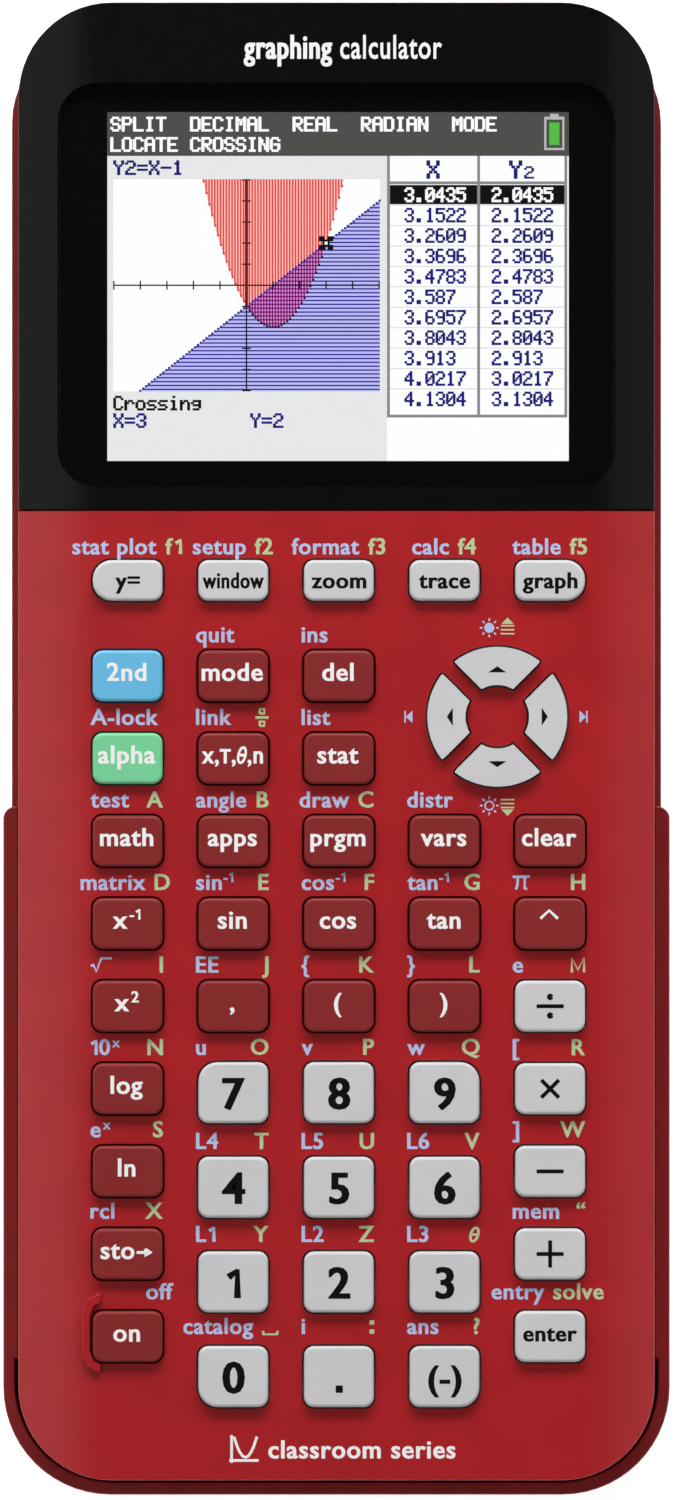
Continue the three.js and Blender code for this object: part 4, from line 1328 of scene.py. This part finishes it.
def buildCover(finishes):
    wide = coverHigh.x - coverLow.x
    bottom = coverLow.y
    long = topY - bottom
    grip = plate(wide, long, cover["corner"], 0, coverHigh.z, 0, (topY + bottom) / 2, 14)
    grip = roundLevel(grip, 0, cover["round"], 6)
    reach = cover["gripTop"] - bottom
    keep = plate(wide + 0.02, reach + 2, cover["gripCorner"], -1, coverHigh.z + 1,
                 0, bottom - 1 + reach / 2, 8)
    grip = carve(grip, keep, how="INTERSECT")
    corners = (cover["corner"], cover["corner"], shell["corner"], shell["corner"])
    low = plate(cover["lowWidth"], coverHigh.y - bottom, corners, 0, cover["low"],
                0, (coverHigh.y + bottom) / 2, 14)
    low = roundLevel(low, 0, cover["round"], 6)
    solid = carve(grip, low, how="UNION")

    def room(width, gap, corner, floor, ceiling, rounding=0.0):
        start = bottomY - max(cover["endGap"], gap if gap > 0.5 else 0)
        length = 2 * (topY - bottomY)
        bm = plate(width + 2 * gap, length, corner + gap, floor, ceiling, 0, start + length / 2, 12)
        return roundLevel(bm, floor, rounding, 4) if rounding else bm

    inset = back["inset"]
    trayRoom = room(2 * (halfWidth - inset), cover["railGap"], shell["corner"] - inset, cover["floor"],
                    cover["low"] + 1, back["round"])
    railRoom = room(2 * backHigh.x, cover["railGap"], shell["corner"], cover["low"], cover["lipUnder"])
    bodyRoom = room(2 * halfWidth, cover["lipGap"], shell["corner"], cover["lipUnder"] - 1, coverHigh.z + 2)
    width, length, deep = cover["recess"]
    recess = plate(width, length, 2.5, -1, deep, 0, bottom + 40, 6)
    relief = room(2 * halfWidth, cover["reliefGap"], shell["corner"], cover["reliefFloor"], coverHigh.z + 2)
    relief = keepSide(relief, cover["reliefTop"], False)
    solid = carve(solid, trayRoom, railRoom, bodyRoom, recess, relief)
    top = rimEdges(solid, lambda e: all(v.co.z > coverHigh.z - 0.01 for v in e.verts))
    roundEdges(solid, top, cover["lipRound"], 4)
    makePiece("cover_shell", solid, finishes["coverShell"], "cover", ("slide_cover",))


maker = {"y": 3.9, "x": 3.2, "room": 26.0, "iconWidth": 4.6, "iconLine": 0.34}


# The small picture of a graph, and the words beside it, near the lower edge.
def buildMakerWord(finishes):
    cap = capHeights["maker"]
    words = label("classroom series", cap, bold=2)
    y = bottomY + maker["y"]
    placeOn(words, maker["x"], y, faceZ, maker["room"], 0, cap / 2)
    left = widthOf(words)[0] - maker["iconWidth"]
    icon = [
        [(left, y - 1.7), (left, y + 1.8)],
        [(left - 0.3, y - 1.4), (left + 3.4, y - 1.4)],
        [(left + 0.3 + t * 0.36, y - 1.0 + 2.6 * ((t - 4) / 4) ** 2) for t in range(9)],
    ]
    for points in icon:
        merge(words, moved(stroke(points, maker["iconLine"]), 0, 0, faceZ))
    makePiece("foot_words", words, finishes["whiteInk"], body, even=False)


# Moulded finishes: colour, roughness, and what differs from the usual.
moulded = {
    "redShell": ((0.42, 0.010, 0.014), 0.32, {"gloss": 0.62}),
    # The back shell's red is painted darker than the front's, as painted shade where the body's wall shadows
    # its rails; the battery door shares this painted shade
    "shadedBackShell": ((0.24, 0.012, 0.014), 0.5, {"grain": 0.3}),
    "coverShell": ((0.24, 0.012, 0.014), 0.45, {"grain": 0.2}),
    "lightKey": ((0.64, 0.635, 0.645), 0.45, {"clouding": 0.02}),
    "darkKey": ((0.25, 0.018, 0.019), 0.48, {"clouding": 0.03, "gloss": 0.3}),
    "blueKey": ((0.14, 0.50, 0.78), 0.45, {"clouding": 0.02}),
    "greenKey": ((0.19, 0.66, 0.33), 0.45, {"clouding": 0.02}),
    "blackPlastic": ((0.012, 0.012, 0.012), 0.5, {}),
    "lens": ((0.5, 0.52, 0.5), 0.2, {}),
}
inks = {"blackInk": ((0.004, 0.004, 0.004), 0.1), "whiteInk": ((0.96, 0.93, 0.93), 0.4),
        "blueInk": ((0.47, 0.57, 0.84), 0.4), "greenInk": ((0.50, 0.62, 0.34), 0.4)}
blacks = {"polishedBlack": 0.26, "printBlack": 0.15}
rubbers = {"rubber": (0.03, 0.03, 0.032), "sheetRubber": (0.55, 0.55, 0.53), "wrap": (0.045, 0.06, 0.085)}
metals = {"brightMetal": ((0.62, 0.62, 0.64), 0.3), "screwMetal": ((0.30, 0.30, 0.31), 0.4),
          "panelMetal": ((0.55, 0.56, 0.58), 0.35)}


def makeFinishes():
    finishes = {name: mouldedPlastic(name, colour, roughness, **rest)
                for name, (colour, roughness, rest) in moulded.items()}
    finishes |= {name: printedInk(name, *values) for name, values in inks.items()}
    finishes |= {name: polishedBlack(name, roughness) for name, roughness in blacks.items()}
    finishes |= {name: softRubber(name, colour) for name, colour in rubbers.items()}
    finishes |= {name: brushedMetal(name, *values) for name, values in metals.items()}
    finishes |= {"glow_" + name: glowing("glow_" + name, colour) for name, colour in lcdColours.items()}
    return finishes | {"clearPane": clearPane(), "board": boardMask(), "floor": floorPaint()}


def floorPaint():
    material, tree, shader = newMaterial("floorPaint", {
        "Roughness": 0.9, "Emission Color": (1, 1, 1, 1), "Emission Strength": 0.75})
    tint(tree, addNoise(tree, 60, 3), shader, (0.86, 0.86, 0.86), (0.90, 0.90, 0.90))
    return material


def addFloor(finishes):
    bm = bmesh.new()
    bmesh.ops.create_grid(bm, x_segments=8, y_segments=8, size=studio["floorSize"] / 2,
                          matrix=Matrix.Translation((0, 0, -studio["floorDrop"])))
    floor = asObject("floor", bm)
    floor.data.materials.append(finishes["floor"])


def dressFrame(finishes):
    dressed = {"display_panel": "panelMetal", "circuit_board": "board", "dome_sheet": "sheetRubber",
               "battery_pack": "wrap"}
    for node, finish in dressed.items():
        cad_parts[node].data.materials[0] = finishes[finish]


def main():
    addCamera()
    addLights()
    finishes = makeFinishes()
    addFloor(finishes)
    print("studio ready")
    dressFrame(finishes)
    buildFrontHousing(finishes)
    print("front housing ready")
    buildBezel(finishes)
    buildWindow(finishes)
    buildSocket(finishes)
    print("bezel and window ready")
    buildPicture(finishes)
    print("display ready")
    buildKeys(finishes)
    print("keys ready")
    buildLegends(finishes)
    buildMakerWord(finishes)
    print("lettering ready")
    buildBackHousing(finishes)
    buildBatteryDoor(finishes)
    buildFasteners(finishes)
    print("back ready")
    buildCover(finishes)
    print("cover ready")


main()
